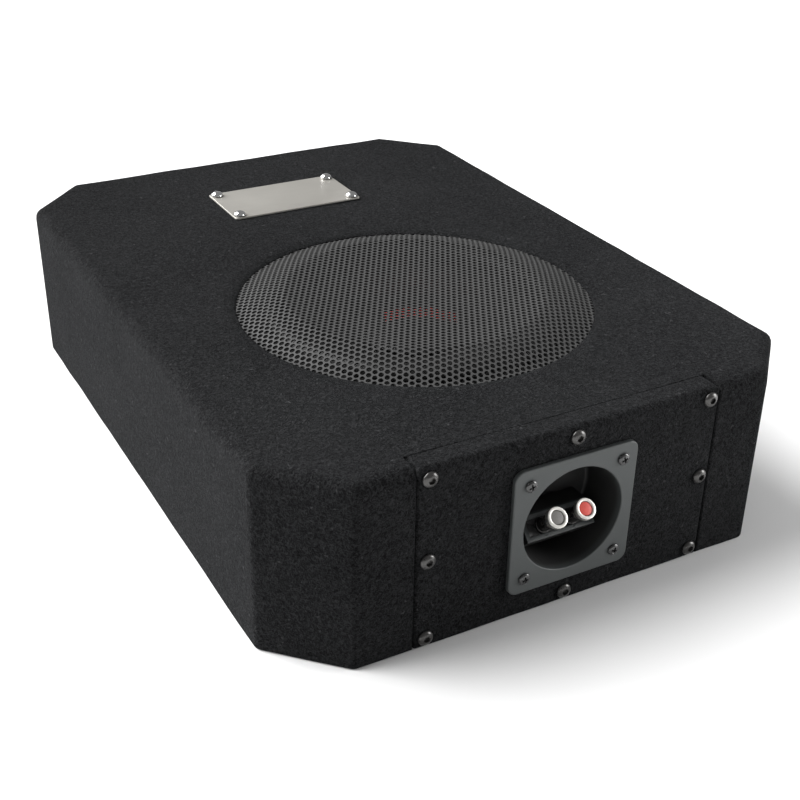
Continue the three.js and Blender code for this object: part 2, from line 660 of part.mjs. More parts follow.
function basketGeometry() {
  const flange = FLANGE_TOP - BASKET_SHEET / 2;
  const floor = BASKET_FLOOR + BASKET_SHEET / 2;
  const line = [
    point(COIL_BORE + 2, floor),
    point(MAGNET_RADIUS - 8, floor),
    point(SPIDER_RADIUS - 5, ledge),
    legFoot,
    legTop,
    point(CUTOUT_RADIUS - 2, flange),
    point(FLANGE_RADIUS, flange),
  ];
  const windows = [];
  for (let i = 0; i < 6; i += 1) {
    const sector = new THREE.Shape();
    const middle = THREE.MathUtils.degToRad(60 * i);
    const half = THREE.MathUtils.degToRad(20);
    sector.absarc(0, 0, CUTOUT_RADIUS - 8, middle - half, middle + half);
    sector.absarc(0, 0, SPIDER_RADIUS + 4, middle + half, middle - half, true);
    windows.push(slab(sector, floor, flange - 3));
  }
  const holes = wooferScrewPlaces.map(([x, y]) =>
    rod(screwHole("woofer"), SEAT_Z, HEIGHT).translate(x, y - GRILLE_Y, 0),
  );
  return cut(turned(sheet(line, BASKET_SHEET), DRIVER_FACETS), windows.concat(holes));
}
piece("basket", basketGeometry(), "basket_coat", woofer);

piece("top_plate", ring(COIL_BORE, MAGNET_RADIUS - 6, TOP_PLATE_BOTTOM, TOP_PLATE_TOP), "zinc_steel", woofer);
const magnetGeometry = ring(COIL_BORE + 6, MAGNET_RADIUS, MAGNET_BOTTOM, MAGNET_BOTTOM + MAGNET_HEIGHT);
piece("magnet", magnetGeometry, "ferrite", woofer);
piece(
  "yoke",
  turned([
    point(0, YOKE_TOP - YOKE_PLATE),
    point(MAGNET_RADIUS - 6, YOKE_TOP - YOKE_PLATE),
    point(MAGNET_RADIUS - 6, YOKE_TOP),
    point(COIL_RADIUS - POLE_CLEARANCE, YOKE_TOP),
    point(COIL_RADIUS - POLE_CLEARANCE, TOP_PLATE_TOP),
    point(0, TOP_PLATE_TOP),
  ], DRIVER_FACETS),
  "zinc_steel",
  woofer,
);

// The cone runs from the former's neck up to the surround.
const coneSlope = CONE_DEPTH / (CONE_RADIUS - CONE_NECK);
const coneHeight = (radius) => NECK_Z + (radius - CONE_NECK) * coneSlope;
piece(
  "cone",
  turned(sheet([
    point(CONE_NECK, NECK_Z - 4),
    point(CONE_NECK, NECK_Z),
    point(CONE_RADIUS, coneHeight(CONE_RADIUS)),
  ], CONE_SHEET), DRIVER_FACETS),
  "cone_paper",
  woofer,
);
const coilBottom = YOKE_TOP + CONE_TRAVEL + 2; // still clear of the yoke with the cone at its lowest
const coilGeometry = ring(COIL_RADIUS, COIL_RADIUS + COIL_WALL, coilBottom, NECK_Z + 1);
piece("voice_coil", coilGeometry, "coil_former", woofer);

function domeLine(radius, base, rise, steps) {
  const line = [];
  for (let i = 0; i <= steps; i += 1) {
    const share = 1 - i / steps;
    line.push(point(radius * share, base + rise * (1 - share * share)));
  }
  return line;
}
const capBase = coneHeight(DUST_CAP_RADIUS) + CONE_SHEET + GAP * 2;
const dustCapLine = domeLine(DUST_CAP_RADIUS, capBase, DUST_CAP_RISE, 4);
piece("dust_cap", turned(sheet(dustCapLine, DUST_CAP_SHEET), DRIVER_FACETS), "cone_paper", woofer);

function surroundGeometry() {
  const sheetThickness = 1.2;
  const land = FLANGE_TOP + GAP + sheetThickness / 2;
  const middle = (CONE_RADIUS + CUTOUT_RADIUS) / 2;
  const line = [point(CONE_RADIUS - 4, land), point(middle - ROLL_RADIUS, land)];
  for (let i = 1; i < 4; i += 1) {
    const angle = Math.PI * (1 - i / 4);
    line.push(point(middle + ROLL_RADIUS * Math.cos(angle), land + ROLL_RADIUS * Math.sin(angle)));
  }
  line.push(point(middle + ROLL_RADIUS, land), point(CUTOUT_RADIUS + 1, land));
  return turned(sheet(line, sheetThickness), DRIVER_FACETS);
}
piece("surround", surroundGeometry(), "rubber", woofer);

function spiderGeometry() {
  const line = [];
  const inner = COIL_RADIUS + COIL_WALL + GAP;
  const waves = 4;
  for (let i = 0; i <= waves * 2; i += 1) {
    const wave = i > 1 && i < waves * 2 - 1 ? 1.6 * (i % 2) : 0;
    line.push(point(inner + ((SPIDER_RADIUS - inner) * i) / (waves * 2), SPIDER_Z + wave));
  }
  return turned(sheet(line, 0.8), DRIVER_FACETS);
}
piece("spider", spiderGeometry(), "spider_cloth", woofer);

wooferScrewPlaces.forEach(([x, y], index) => {
  const screw = piece(`woofer_screw_${index + 1}`, screwGeometry(SCREWS.woofer), "black_screw");
  screw.position.set(x, y, FLANGE_TOP + GAP);
});

// ---- the driver's terminal strip and the wires to it ----
const STRIP = { width: 24, height: 9, thickness: 2, clearance: 3 };
const stripRadius = CUTOUT_RADIUS - 2;
const stripY = GRILLE_Y - stripRadius;
const stripZ = SEAT_Z - 24;
const strip = box(STRIP.width, STRIP.thickness, STRIP.height).translate(0, stripY, stripZ);
const footZ = stripZ + (STRIP.height - STRIP.thickness) / 2;
const footReach = stripRadius - legRadius(footZ) - STRIP.clearance;
const stripFoot = box(STRIP.width - 10, footReach, STRIP.thickness);
stripFoot.translate(0, stripY + footReach / 2, footZ);
piece("woofer_terminal_strip", join(strip, [stripFoot]), "coil_former");

for (const [colour, hand] of [["black", -1], ["red", 1]]) {
  const x = (hand * TERMINAL_PITCH) / 2;
  const start = FRONT + lugEnd.x;
  const end = stripY - STRIP.thickness / 2 - GAP;
  const route = new THREE.CatmullRomCurve3([
    new THREE.Vector3(x, start, CUP_Z + lugEnd.y),
    new THREE.Vector3(x, start + 11, CUP_Z + lugEnd.y),
    new THREE.Vector3(x * 0.9, (start + end) / 2, (CUP_Z + lugEnd.y + stripZ) / 2),
    new THREE.Vector3(x * 0.8, end - 8, stripZ),
    new THREE.Vector3(x * 0.8, end, stripZ),
  ]);
  piece(`speaker_wire_${colour}`, wireAlong(route, WIRE_RADIUS, 16, 8), `${colour}_wire`);
}

// ---- the grille ----
// The band rises to a ridge, inside which the crown is dished.
function grilleGeometry() {
  const rim = TOP_FACE + GAP + GRILLE_SHEET / 2;
  const step = 0.5; // how far the seat rises to the foot of the band
  const band = GRILLE_RADIUS - GRILLE_SEAT;
  const ridge = band - GRILLE_BAND;
  const line = [point(GRILLE_RADIUS, rim), point(band, rim + step)];
  for (const share of [0.2, 0.4, 0.6, 0.8, 1]) {
    const climbed = share * (1.35 - 0.35 * share);
    line.push(point(band - GRILLE_BAND * share, rim + step + (GRILLE_RISE - step) * climbed));
  }
  for (const share of [0.75, 0.5, 0.25, 0]) {
    line.push(point(ridge * share, rim + GRILLE_RISE - GRILLE_DISH * (1 - share * share)));
  }
  return turned(sheet(line, GRILLE_SHEET), LARGE_FACETS);
}
piece("grille", grilleGeometry(), "grille_coat", woofer);

// ---- the nameplate ----
const plateOutline = roundedSquare(PLATE_WIDTH, PLATE_DEPTH, PLATE_CORNER);
const plateHoles = nameplateScrewPlaces.map(({ x, y }) =>
  rod(screwHole("nameplate"), -5, 5, 10).translate(x, y - PLATE_Y, 0),
);
piece("nameplate", cut(slab(plateOutline, 0, PLATE_SHEET), plateHoles), "satin_steel").position.set(
  0,
  PLATE_Y,
  HEIGHT + GAP,
);
for (const { name, x, y } of nameplateScrewPlaces) {
  const screw = piece(name, screwGeometry(SCREWS.nameplate), "chrome");
  screw.position.set(x, y, HEIGHT + GAP + PLATE_SHEET + GAP);
}

export default subwoofer;
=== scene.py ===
import math
import random

import bmesh
import bpy
from mathutils import Matrix, Vector, noise


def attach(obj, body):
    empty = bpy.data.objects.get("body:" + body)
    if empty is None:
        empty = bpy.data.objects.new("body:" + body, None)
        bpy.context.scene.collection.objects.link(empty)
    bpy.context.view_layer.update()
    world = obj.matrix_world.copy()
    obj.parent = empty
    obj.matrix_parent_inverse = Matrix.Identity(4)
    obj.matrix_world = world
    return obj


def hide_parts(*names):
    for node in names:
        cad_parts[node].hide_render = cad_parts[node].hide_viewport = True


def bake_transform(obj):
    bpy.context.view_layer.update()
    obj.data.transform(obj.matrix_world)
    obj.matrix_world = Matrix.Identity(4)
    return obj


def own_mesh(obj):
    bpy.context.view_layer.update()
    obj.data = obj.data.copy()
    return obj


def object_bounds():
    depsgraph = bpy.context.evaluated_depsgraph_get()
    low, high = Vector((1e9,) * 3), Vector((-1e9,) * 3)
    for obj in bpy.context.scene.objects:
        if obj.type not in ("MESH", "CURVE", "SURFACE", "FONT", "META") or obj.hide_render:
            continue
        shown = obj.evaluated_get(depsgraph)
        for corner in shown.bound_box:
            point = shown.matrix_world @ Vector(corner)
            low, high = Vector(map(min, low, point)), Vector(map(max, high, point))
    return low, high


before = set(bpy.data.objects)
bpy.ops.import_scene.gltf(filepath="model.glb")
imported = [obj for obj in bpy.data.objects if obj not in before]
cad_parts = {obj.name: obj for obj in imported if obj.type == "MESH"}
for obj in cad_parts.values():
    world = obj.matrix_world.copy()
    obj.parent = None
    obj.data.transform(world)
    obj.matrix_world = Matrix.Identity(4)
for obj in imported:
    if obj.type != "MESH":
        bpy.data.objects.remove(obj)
cad_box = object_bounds()
link = bpy.context.scene.collection.objects.link

# ---- the studio ----
# The camera stands left of the front end and looks down on it. The floor is white card, and a
# broad soft lamp high on the left does most of the lighting, with white walls all round.
CAMERA_PLACE = Vector((-0.3533, -0.6791, 0.4395))
CAMERA_YAW = 0.5073
CAMERA_PITCH = 0.5112
CAMERA_ROLL = 0.0185
CAMERA_LENS = 58.17
FLOOR_SIZE = 30
FLOOR_DROP = 0.0002  # below the felt, so that the two never share a plane
WALL_LIGHT = 0.27
KEY_BEARING = math.radians(-46)  # from straight ahead of the panel's back, towards the left
KEY_HEIGHT = math.radians(36)
KEY_SPREAD = math.radians(64)
KEY_POWER = 9.0
FILL_PLACE = Vector((0.8, -0.6, 0.3))
FILL_AIM = Vector((0.15, -0.2, 0.05))
FILL_SIZE = 0.5
FILL_POWER = 6.0

ahead = Vector((
    math.sin(CAMERA_YAW) * math.cos(CAMERA_PITCH),
    math.cos(CAMERA_YAW) * math.cos(CAMERA_PITCH),
    -math.sin(CAMERA_PITCH),
))
level = Vector((math.cos(CAMERA_YAW), -math.sin(CAMERA_YAW), 0))
above = level.cross(ahead)
right = level * math.cos(CAMERA_ROLL) + above * math.sin(CAMERA_ROLL)
up = above * math.cos(CAMERA_ROLL) - level * math.sin(CAMERA_ROLL)
camera = bpy.data.objects.new("camera", bpy.data.cameras.new("camera"))
camera.data.lens = CAMERA_LENS
camera.data.clip_start = 0.01
camera.matrix_world = Matrix.Translation(CAMERA_PLACE) @ Matrix((right, up, -ahead)).transposed().to_4x4()
link(camera)
bpy.context.scene.camera = camera
bpy.context.scene.view_settings.view_transform = "Standard"

walls = bpy.data.worlds.new("white_walls")
walls.use_nodes = True
walls.node_tree.nodes["Background"].inputs["Color"].default_value = (1, 1, 1, 1)
walls.node_tree.nodes["Background"].inputs["Strength"].default_value = WALL_LIGHT
bpy.context.scene.world = walls

key = bpy.data.objects.new("left_soft_box", bpy.data.lights.new("left_soft_box", "SUN"))
key.data.energy = KEY_POWER
key.data.angle = KEY_SPREAD
key_side = Vector((math.sin(KEY_BEARING), math.cos(KEY_BEARING), 0)) * math.cos(KEY_HEIGHT)
key.rotation_euler = (key_side + Vector((0, 0, math.sin(KEY_HEIGHT)))).to_track_quat("Z", "Y").to_euler()
link(key)
fill = bpy.data.objects.new("right_fill", bpy.data.lights.new("right_fill", "AREA"))
fill.data.shape = "DISK"
fill.data.size = FILL_SIZE
fill.data.energy = FILL_POWER
fill.location = FILL_PLACE
fill.rotation_euler = (FILL_PLACE - FILL_AIM).to_track_quat("Z", "Y").to_euler()
link(fill)


class Level:
    """A value inside a material. Arithmetic on it adds the Math nodes."""

    def __init__(self, tree, socket):
        self.tree = tree
        self.socket = socket

    def math(self, operation, *values):
        node = self.tree.nodes.new("ShaderNodeMath")
        node.operation = operation
        for socket, value in zip(node.inputs, values):
            if isinstance(value, Level):
                self.tree.links.new(value.socket, socket)
            else:
                socket.default_value = value
        return Level(self.tree, node.outputs[0])

    def __add__(self, other):
        return self.math("ADD", self, other)

    def __sub__(self, other):
        return self.math("SUBTRACT", self, other)

    def __rsub__(self, other):
        return self.math("SUBTRACT", other, self)

    def __mul__(self, other):
        return self.math("MULTIPLY", self, other)

    def __pow__(self, other):
        return self.math("POWER", self, other)

    def __abs__(self):
        return self.math("ABSOLUTE", self)

    __radd__ = __add__
    __rmul__ = __mul__


class Finish:
    """A material with one surface shader and the nodes that vary it."""

    def __init__(self, name, **fixed):
        self.material = bpy.data.materials.new(name)
        self.material.use_nodes = True
        self.tree = self.material.node_tree
        self.surface = self.tree.nodes["Principled BSDF"]
        self.place = self.node("TexCoord", output="Object")
        for key, value in fixed.items():
            self.surface.inputs[key.replace("_", " ")].default_value = value

    def node(self, kind, settings=None, sockets=None, output=0):
        made = self.tree.nodes.new("ShaderNode" + kind)
        for key, value in (settings or {}).items():
            setattr(made, key, value)
        for key, value in (sockets or {}).items():
            if isinstance(value, Level):
                self.tree.links.new(value.socket, made.inputs[key])
            else:
                made.inputs[key].default_value = value
        return Level(self.tree, made.outputs[output])

    def grain(self, scale, detail=2, distortion=0, stretch=(1, 1, 1), rough=0.5):
        """Noise from 0 to 1; scale is cells in a metre, and stretch squeezes them along an axis."""
        at = self.node("VectorMath", {"operation": "MULTIPLY"}, {0: self.place, 1: stretch})
        values = {"Vector": at, "Scale": scale, "Detail": detail}
        return self.node("TexNoise", None, {**values, "Distortion": distortion, "Roughness": rough})

    def axes(self):
        """The three coordinates of a point, in metres."""
        return (self.node("SeparateXYZ", None, {0: self.place}, axis) for axis in "XYZ")

    def step(self, value, low, high, bottom=0.0, top=1.0):
        values = {"Value": value, "From Min": low, "From Max": high, "To Min": bottom, "To Max": top}
        return self.node("MapRange", {"interpolation_type": "SMOOTHSTEP"}, values)

    def tint(self, share, first, second):
        """A colour between two, by share."""
        return self.node("Mix", {"data_type": "RGBA"}, {0: share, 6: first, 7: second}, 2)

    def feed(self, socket, value):
        self.tree.links.new(value.socket, self.surface.inputs[socket])

    def relief(self, height, distance, strength=1.0):
        values = {"Height": height, "Distance": distance, "Strength": strength}
        self.feed("Normal", self.node("Bump", None, values))

    def vary(self, pattern, dull, bright, roughness, spread, depth=None, strength=0.5):
        """One pattern varies the colour, the roughness above its lowest value, and the relief."""
        self.feed("Base Color", self.tint(pattern, dull, bright))
        self.feed("Roughness", pattern * spread + roughness)
        if depth:
            self.relief(pattern, depth, strength)


def grey(value, warm=0.0):
    return (value * (1 + warm), value, value * (1 - warm), 1)


card = Finish("white_card", Specular_IOR_Level=0.1)
card.feed("Base Color", card.tint(card.grain(9), grey(0.74), grey(0.77)))
card.surface.inputs["Roughness"].default_value = 0.9
floor_mesh = bmesh.new()
bmesh.ops.create_grid(floor_mesh, x_segments=4, y_segments=4, size=FLOOR_SIZE / 2)
floor_data = bpy.data.meshes.new("floor")
floor_mesh.to_mesh(floor_data)
floor_mesh.free()
floor = bpy.data.objects.new("floor", floor_data)
floor.location.z = cad_box[0].z - FLOOR_DROP
floor.data.materials.append(card.material)
link(floor)

# ---- the wooden box ----
# Fibreboard panels 15 mm thick, mitred, glued and pinned: top, bottom, seven walls, the two
# posts that take the access panel's screws, and the panel's own board. Felt hides all of it.
MM = 0.001
WIDTH, LENGTH, HEIGHT = 330 * MM, 460 * MM, 110 * MM
FRONT = -LENGTH / 2
GRILLE_Y = FRONT + 170 * MM
SHADE_RADIUS = 112 * MM  # painted shade: black on the board within this radius of the driver, for the dark under the grille's rim
SHADE_FRONT = 18 * MM  # and painted shade, black, on what the seam round the access panel shows
fibreboard = Finish("fibreboard", Specular_IOR_Level=0.3)
fibres = fibreboard.grain(700, 4, 1.5, (1, 1, 0.4))
patches = fibreboard.grain(30, 2)
sawn = fibreboard.tint(fibres * 0.7 + patches * 0.3, (0.22, 0.135, 0.07, 1), (0.46, 0.32, 0.18, 1))
side, length_way, up_way = fibreboard.axes()
from_driver = (side ** 2 + (length_way - GRILLE_Y) ** 2) ** 0.5
# painted shade: the board is coloured black near the top of the driver's hole and along the access panel's
# seam, where it lies in shade
painted_shade = fibreboard.step(SHADE_RADIUS - from_driver, 0, 2 * MM)
painted_shade = painted_shade * fibreboard.step(up_way, HEIGHT / 2, HEIGHT / 2 + 5 * MM)
seam_side = fibreboard.step(length_way, FRONT + SHADE_FRONT, FRONT + SHADE_FRONT + 2 * MM)
painted_shade = 1 - (1 - painted_shade) * seam_side
fibreboard.feed("Base Color", fibreboard.tint(painted_shade, sawn, grey(0.012)))
fibreboard.feed("Roughness", fibres * 0.2 + 0.7)
fibreboard.relief(fibres, 0.2 * MM)


def clothe(finish, slot, *nodes):
    """Gives CAD nodes a finish."""
    for name in nodes:
        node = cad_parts[name]
        node.data.materials.clear()
        node.data.materials.append(finish.material)


boards = ["top_board", "bottom_board", "rear_board", "access_panel"]
for hand in ("left", "right"):
    boards += [f"{hand}_side_board", f"front_{hand}_post"]
    boards += [f"front_{hand}_corner_board", f"rear_{hand}_corner_board"]
clothe(fibreboard, "wood", *boards)

# ---- the felt wrap ----
# Black needle-punched polyester felt, 2.7 mm thick, glued over the box and pulled round its edges,
# so they are soft. It is cut away where the access panel sits and in a round hole for the grille.
CORNER_CUT = 38 * MM
FELT = 2.7 * MM
FELT_ROUND = 7.5 * MM
FELT_FOOT_ROUND = 1.6 * MM
FELT_CORNER = 6 * MM
FELT_SPACING = 5 * MM  # between points along an edge
FELT_SWAY = 0.35 * MM  # how far an edge wanders
SEAM_ROUND = 1.8 * MM
SEAM_LIP = 0.6 * MM
GAP = 0.3 * MM
PANEL_WIDTH = 186 * MM
PANEL_THICKNESS = 14 * MM
NOTCH_HALF = PANEL_WIDTH / 2 + GAP
NOTCH_BACK = FRONT + PANEL_THICKNESS + GAP
GRILLE_RADIUS = 107.8 * MM
FELT_HOLE = GRILLE_RADIUS + GAP
HOLE_FLARE = [(0.1, -1.5), (0.8, -1.1), (3, -0.4), (7, 0), (14, 1)]  # mm outwards and up, pressed edge
SWAY_SIZE = 30 * MM
BELOW = -5 * MM


def outline(corners, inset=0.0, steps=4, spacing=None):
    """Points round a closed shape from (x, y, rounding) corners, drawn anticlockwise and moved inwards.
    Every inset gives the same number of points."""
    points = []
    count = len(corners)
    for index, (x, y, rounding) in enumerate(corners):
        here = Vector((x, y))
        before = Vector(corners[index - 1][:2]) - here
        after = Vector(corners[(index + 1) % count][:2]) - here
        into, away = before.normalized(), after.normalized()
        turn = 1 if (-into).cross(away) > 0 else -1
        half = into.angle(away) / 2
        inward = (into + away).normalized() * turn
        left = rounding - inset * turn
        if rounding == 0 or left < 0:
            tip = here + inward * (inset / math.sin(half))
            arc = [tip] * (1 if rounding == 0 else steps + 1)
        else:
            centre = here + inward * turn * (rounding / math.sin(half))
            start = math.atan2(*(-inward * turn).yx) - turn * (math.pi / 2 - half)
            sweep = turn * (math.pi - 2 * half)
            turns = [start + sweep * i / steps for i in range(steps + 1)]
            arc = [centre + left * Vector((math.cos(a), math.sin(a))) for a in turns]
        points += arc
    if spacing is None:
        return points
    filled = []
    plain = outline(corners, 0.0, steps)
    for index, point in enumerate(points):
        following = (index + 1) % len(points)
        filled.append(point)
        pieces = max(1, round((plain[following] - plain[index]).length / spacing))
        filled += [point.lerp(points[following], i / pieces) for i in range(1, pieces)]
    return filled


def loft(shape, loops, capped=True):
    """Skins closed loops of 3-D points of one length, in order."""
    rows = [[shape.verts.new(point) for point in loop] for loop in loops]
    for lower, upper in zip(rows, rows[1:]):
        for i in range(len(lower)):
            j = (i + 1) % len(lower)
            shape.faces.new((lower[i], lower[j], upper[j], upper[i]))
    if capped:
        shape.faces.new(rows[0][::-1])
        shape.faces.new(rows[-1])
    return shape


def clean(shape):
    bmesh.ops.remove_doubles(shape, verts=shape.verts, dist=1e-6)
    bmesh.ops.dissolve_degenerate(shape, edges=shape.edges, dist=1e-6)
    bmesh.ops.recalc_face_normals(shape, faces=shape.faces)
    return shape


def edge_profile(rounding, low, high, foot, steps=5):
    """(inset, height) pairs up the side of a slab whose edges are rounded."""
    quarter = [math.pi / 2 * i / steps for i in range(steps + 1)]
    pairs = [(foot * (1 - math.sin(a)), low + foot * (1 - math.cos(a))) for a in quarter]
    return pairs + [(rounding * (1 - math.cos(a)), high - rounding * (1 - math.sin(a))) for a in quarter]


def slab(corners, profile, steps=4, spacing=None):
    loops = [
        [Vector((p.x, p.y, height)) for p in outline(corners, inset, steps, spacing)]
        for inset, height in profile
    ]
    return clean(loft(bmesh.new(), loops))


noise.seed_set(5)  # the cloth wanders the same way every time


def sway(shape, amount, size):
    """Lets a surface wander, as cloth glued by hand does."""
    for vertex in shape.verts:
        vertex.co += noise.noise_vector(vertex.co / size) * amount


def shown(name, shape, finish, crease=35, flat_first=False):
    """Turns a shape into an object with smooth shading broken at its creases."""
    data = bpy.data.meshes.new(name)
    shape.to_mesh(data)
    shape.free()
    data.polygons.foreach_set("use_smooth", [True] * len(data.polygons))
    data.set_sharp_from_angle(angle=math.radians(crease))
    data.materials.append(finish.material)
    made = bpy.data.objects.new(name, data)
    link(made)
    if flat_first:
        made.modifiers.new("flat_first", "WEIGHTED_NORMAL").keep_sharp = True
    return made


def carve(made, *tools, operation="DIFFERENCE", crease=35):
    """Cuts shapes from an object, or joins them to it, for good."""
    for tool in tools:
        data = bpy.data.meshes.new("tool")
        tool.to_mesh(data)
        tool.free()
        cutter = bpy.data.objects.new("tool", data)
        link(cutter)
        cut = made.modifiers.new("cut", "BOOLEAN")
        cut.operation, cut.object, cut.solver = operation, cutter, "EXACT"
        bpy.context.view_layer.update()
        result = bpy.data.meshes.new_from_object(made.evaluated_get(bpy.context.evaluated_depsgraph_get()))
        made.modifiers.remove(cut)
        old, made.data = made.data, result
        bpy.data.meshes.remove(old)
        bpy.data.objects.remove(cutter)
        bpy.data.meshes.remove(data)
    made.data.polygons.foreach_set("use_smooth", [True] * len(made.data.polygons))
    made.data.set_sharp_from_angle(angle=math.radians(crease))
    return made


def rectangle(half_width, half_depth, rounding):
    """Corners for outline, anticlockwise."""
    signs = ((-1, -1), (1, -1), (1, 1), (-1, 1))
    return [(x * half_width, y * half_depth, rounding) for x, y in signs]


def turned(profile, sides):
    """A body turned about Z from a closed profile of (radius, height) points."""
    shape = bmesh.new()
    rings = []
    for radius, height in profile:
        if radius < 1e-7:
            rings.append([shape.verts.new((0, 0, height))])
            continue
        angles = [2 * math.pi * i / sides for i in range(sides)]
        rings.append([shape.verts.new((radius * math.cos(a), radius * math.sin(a), height)) for a in angles])
    for lower, upper in zip(rings, rings[1:] + rings[:1]):
        if len(lower) == len(upper) == 1:
            continue
        for i in range(sides):
            ring = [lower[i % len(lower)], lower[(i + 1) % sides % len(lower)]]
            ring += [upper[(i + 1) % sides % len(upper)], upper[i % len(upper)]]
            shape.faces.new(list(dict.fromkeys(ring)))
    return clean(shape)


def box_plan(inset, rounding):
    """Corners of the box in plan, anticlockwise."""
    w, l = WIDTH / 2 - inset, LENGTH / 2 - inset
    c = CORNER_CUT - inset * (2 - math.sqrt(2))
    corners = [(-w + c, -l), (w - c, -l), (w, -l + c), (w, l - c)]
    corners += [(w - c, l), (-w + c, l), (-w, l - c), (-w, -l + c)]
    return [(x, y, rounding) for x, y in corners]


def notch_tool(bottom, lip):
    """What is cut away for the access panel. Its mouth flares, so the felt rolls into the seam."""
    half, ahead_of_front, spread = NOTCH_HALF, FRONT - 6 * MM, 8 * MM
    corners = [(-half, NOTCH_BACK, 0), (-half, FRONT, SEAM_ROUND), (-half - spread, FRONT - 1.2 * MM, 0)]
    corners += [(-half - spread, ahead_of_front, 0), (half + spread, ahead_of_front, 0)]
    corners += [(half + spread, FRONT - 1.2 * MM, 0), (half, FRONT, SEAM_ROUND), (half, NOTCH_BACK, 0)]
    rolled = [(-lip * (1 - math.cos(a)), HEIGHT - lip * (1 - math.sin(a))) for a in (0, 0.4, 0.8, 1.2, 1.5)]
    return slab(corners, [(0, bottom), *rolled, (-4 * lip, HEIGHT + 3 * lip)])


felt = Finish("black_felt", Specular_IOR_Level=0.03, Sheen_Weight=0.02, Sheen_Roughness=0.5)
felt.surface.inputs["Sheen Tint"].default_value = (0.8, 0.84, 0.9, 1)
nap = felt.step(felt.grain(620, 2, 1.2, rough=0.7), 0.42, 0.6)
tangle = felt.step(felt.grain(330, 3, 2.5, (1, 1, 0.8), 0.65), 0.4, 0.62)
clumps = felt.grain(120, 3, 0.8)
shade = felt.grain(11, 2)
lint = felt.step(felt.grain(420, 1, 0.4, (1, 0.7, 1)), 0.7, 0.79)
pile = nap * 0.55 + tangle * 0.35 + clumps * 0.1
tufts = pile * 0.88 + felt.step(shade, 0.3, 0.7) * 0.12
felt_colour = felt.tint(tufts, (0.0012, 0.0012, 0.0013, 1), (0.0265, 0.027, 0.028, 1))
felt.feed("Base Color", felt.tint(lint * 0.4, felt_colour, (0.08, 0.081, 0.083, 1)))
felt.feed("Roughness", pile * 0.1 + 0.88)
felt.relief(pile, 1 * MM, 0.9)

wrap_shape = slab(
    box_plan(0, FELT_CORNER), edge_profile(FELT_ROUND, 0, HEIGHT, FELT_FOOT_ROUND), 4, FELT_SPACING
)
sway(wrap_shape, FELT_SWAY, SWAY_SIZE)
wrap = shown("felt_wrap", wrap_shape, felt, 50, True)
inside = slab(box_plan(FELT, 0), [(0, BELOW), (0, HEIGHT - FELT)])
hole_profile = [(0, HEIGHT - 20 * MM), (FELT_HOLE, HEIGHT - 20 * MM), (FELT_HOLE, HEIGHT - FELT)]
hole_profile += [(FELT_HOLE + out * MM, HEIGHT + rise * MM) for out, rise in HOLE_FLARE]
hole_profile += [(0, HEIGHT + HOLE_FLARE[-1][1] * MM)]
hole = turned(hole_profile, 96)
bmesh.ops.translate(hole, verts=hole.verts, vec=(0, GRILLE_Y, 0))
carve(wrap, inside, hole, notch_tool(BELOW, SEAM_LIP), crease=50)
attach(wrap, "enclosure")
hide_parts("carpet_wrap")

# ---- the felt underside ----
# The same felt, cut flat and glued under the bottom board, so that its edge meets the wrap.
sole_inset = FELT + GAP
sole_shape = slab(box_plan(sole_inset, 2 * MM), edge_profile(0.6 * MM, 0, FELT, 0.8 * MM, 3), 3)
sole = shown("felt_underside", sole_shape, felt, 50, True)
carve(sole, notch_tool(BELOW, SEAM_LIP), crease=50)
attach(sole, "enclosure")
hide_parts("carpet_bottom")

# ---- the access panel ----
# A separate board wrapped in the same felt on every side but the back, and screwed into the end
# of the box. Its front top edge is pulled round like the box's, and its sides are tighter.
PANEL_BACK = FRONT + PANEL_THICKNESS
PANEL_TRIM = 2.2 * MM  # cut off the back, so that the seam's edge stays tight
PANEL_FELT_BACK = PANEL_BACK + 0.2 * MM  # the felt's cut edge all but closes the seam
CUP_Z = HEIGHT / 2
CUP_HOLE = 34.2 * MM
panel_half = PANEL_WIDTH / 2
panel_corners = [
    (-panel_half, FRONT, SEAM_ROUND),
    (panel_half, FRONT, SEAM_ROUND),
    (panel_half, PANEL_BACK + PANEL_TRIM, 0),
    (-panel_half, PANEL_BACK + PANEL_TRIM, 0),
]
panel_shape = slab(panel_corners, edge_profile(3.4 * MM, 0, HEIGHT, 1.6 * MM), 4, FELT_SPACING)
sway(panel_shape, FELT_SWAY * 0.6, SWAY_SIZE)
panel = shown("panel_felt", panel_shape, felt, 50, True)
hollow_corners = [
    (-panel_half + FELT, FRONT + FELT, 0),
    (panel_half - FELT, FRONT + FELT, 0),
    (panel_half - FELT, PANEL_BACK + 2 * PANEL_TRIM, 0),
    (-panel_half + FELT, PANEL_BACK + 2 * PANEL_TRIM, 0),
]
panel_hollow = slab(hollow_corners, [(0, FELT), (0, HEIGHT - FELT)])
trim_corners = [(x, y, 0) for x, y in ((-1, PANEL_FELT_BACK), (1, PANEL_FELT_BACK), (1, 1), (-1, 1))]
panel_trim = slab(trim_corners, [(0, -HEIGHT), (0, 2 * HEIGHT)])
LEVEL_Y = Matrix.Rotation(math.pi / 2, 4, "X")  # turns +Z to face out of the panel


def facing_out(shape, x=0.0, z=0.0, y=FRONT):
    """Lays a shape drawn along +Z against the panel, pointing out of it."""
    bmesh.ops.transform(shape, verts=shape.verts, matrix=Matrix.Translation((x, y, z)) @ LEVEL_Y)
    return shape


bore_profile = [(0, -30 * MM), (CUP_HOLE, -30 * MM), (CUP_HOLE, 9 * MM), (0, 9 * MM)]
cup_bore = facing_out(turned(bore_profile, 64), z=CUP_Z)
carve(panel, panel_hollow, panel_trim, cup_bore, crease=50)
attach(panel, "enclosure")
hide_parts("access_panel_carpet")

# ---- the screws ----
# Steel screws with domed heads: black ones with a hex socket in the panel, small black
# cross-recess ones in the terminal cup, the same on the driver, and plain chrome ones on the plate.
SCREW_SIDES = 32
PANEL_SCREW_X = 86.5 * MM
PANEL_SCREW_EDGE = 6.5 * MM


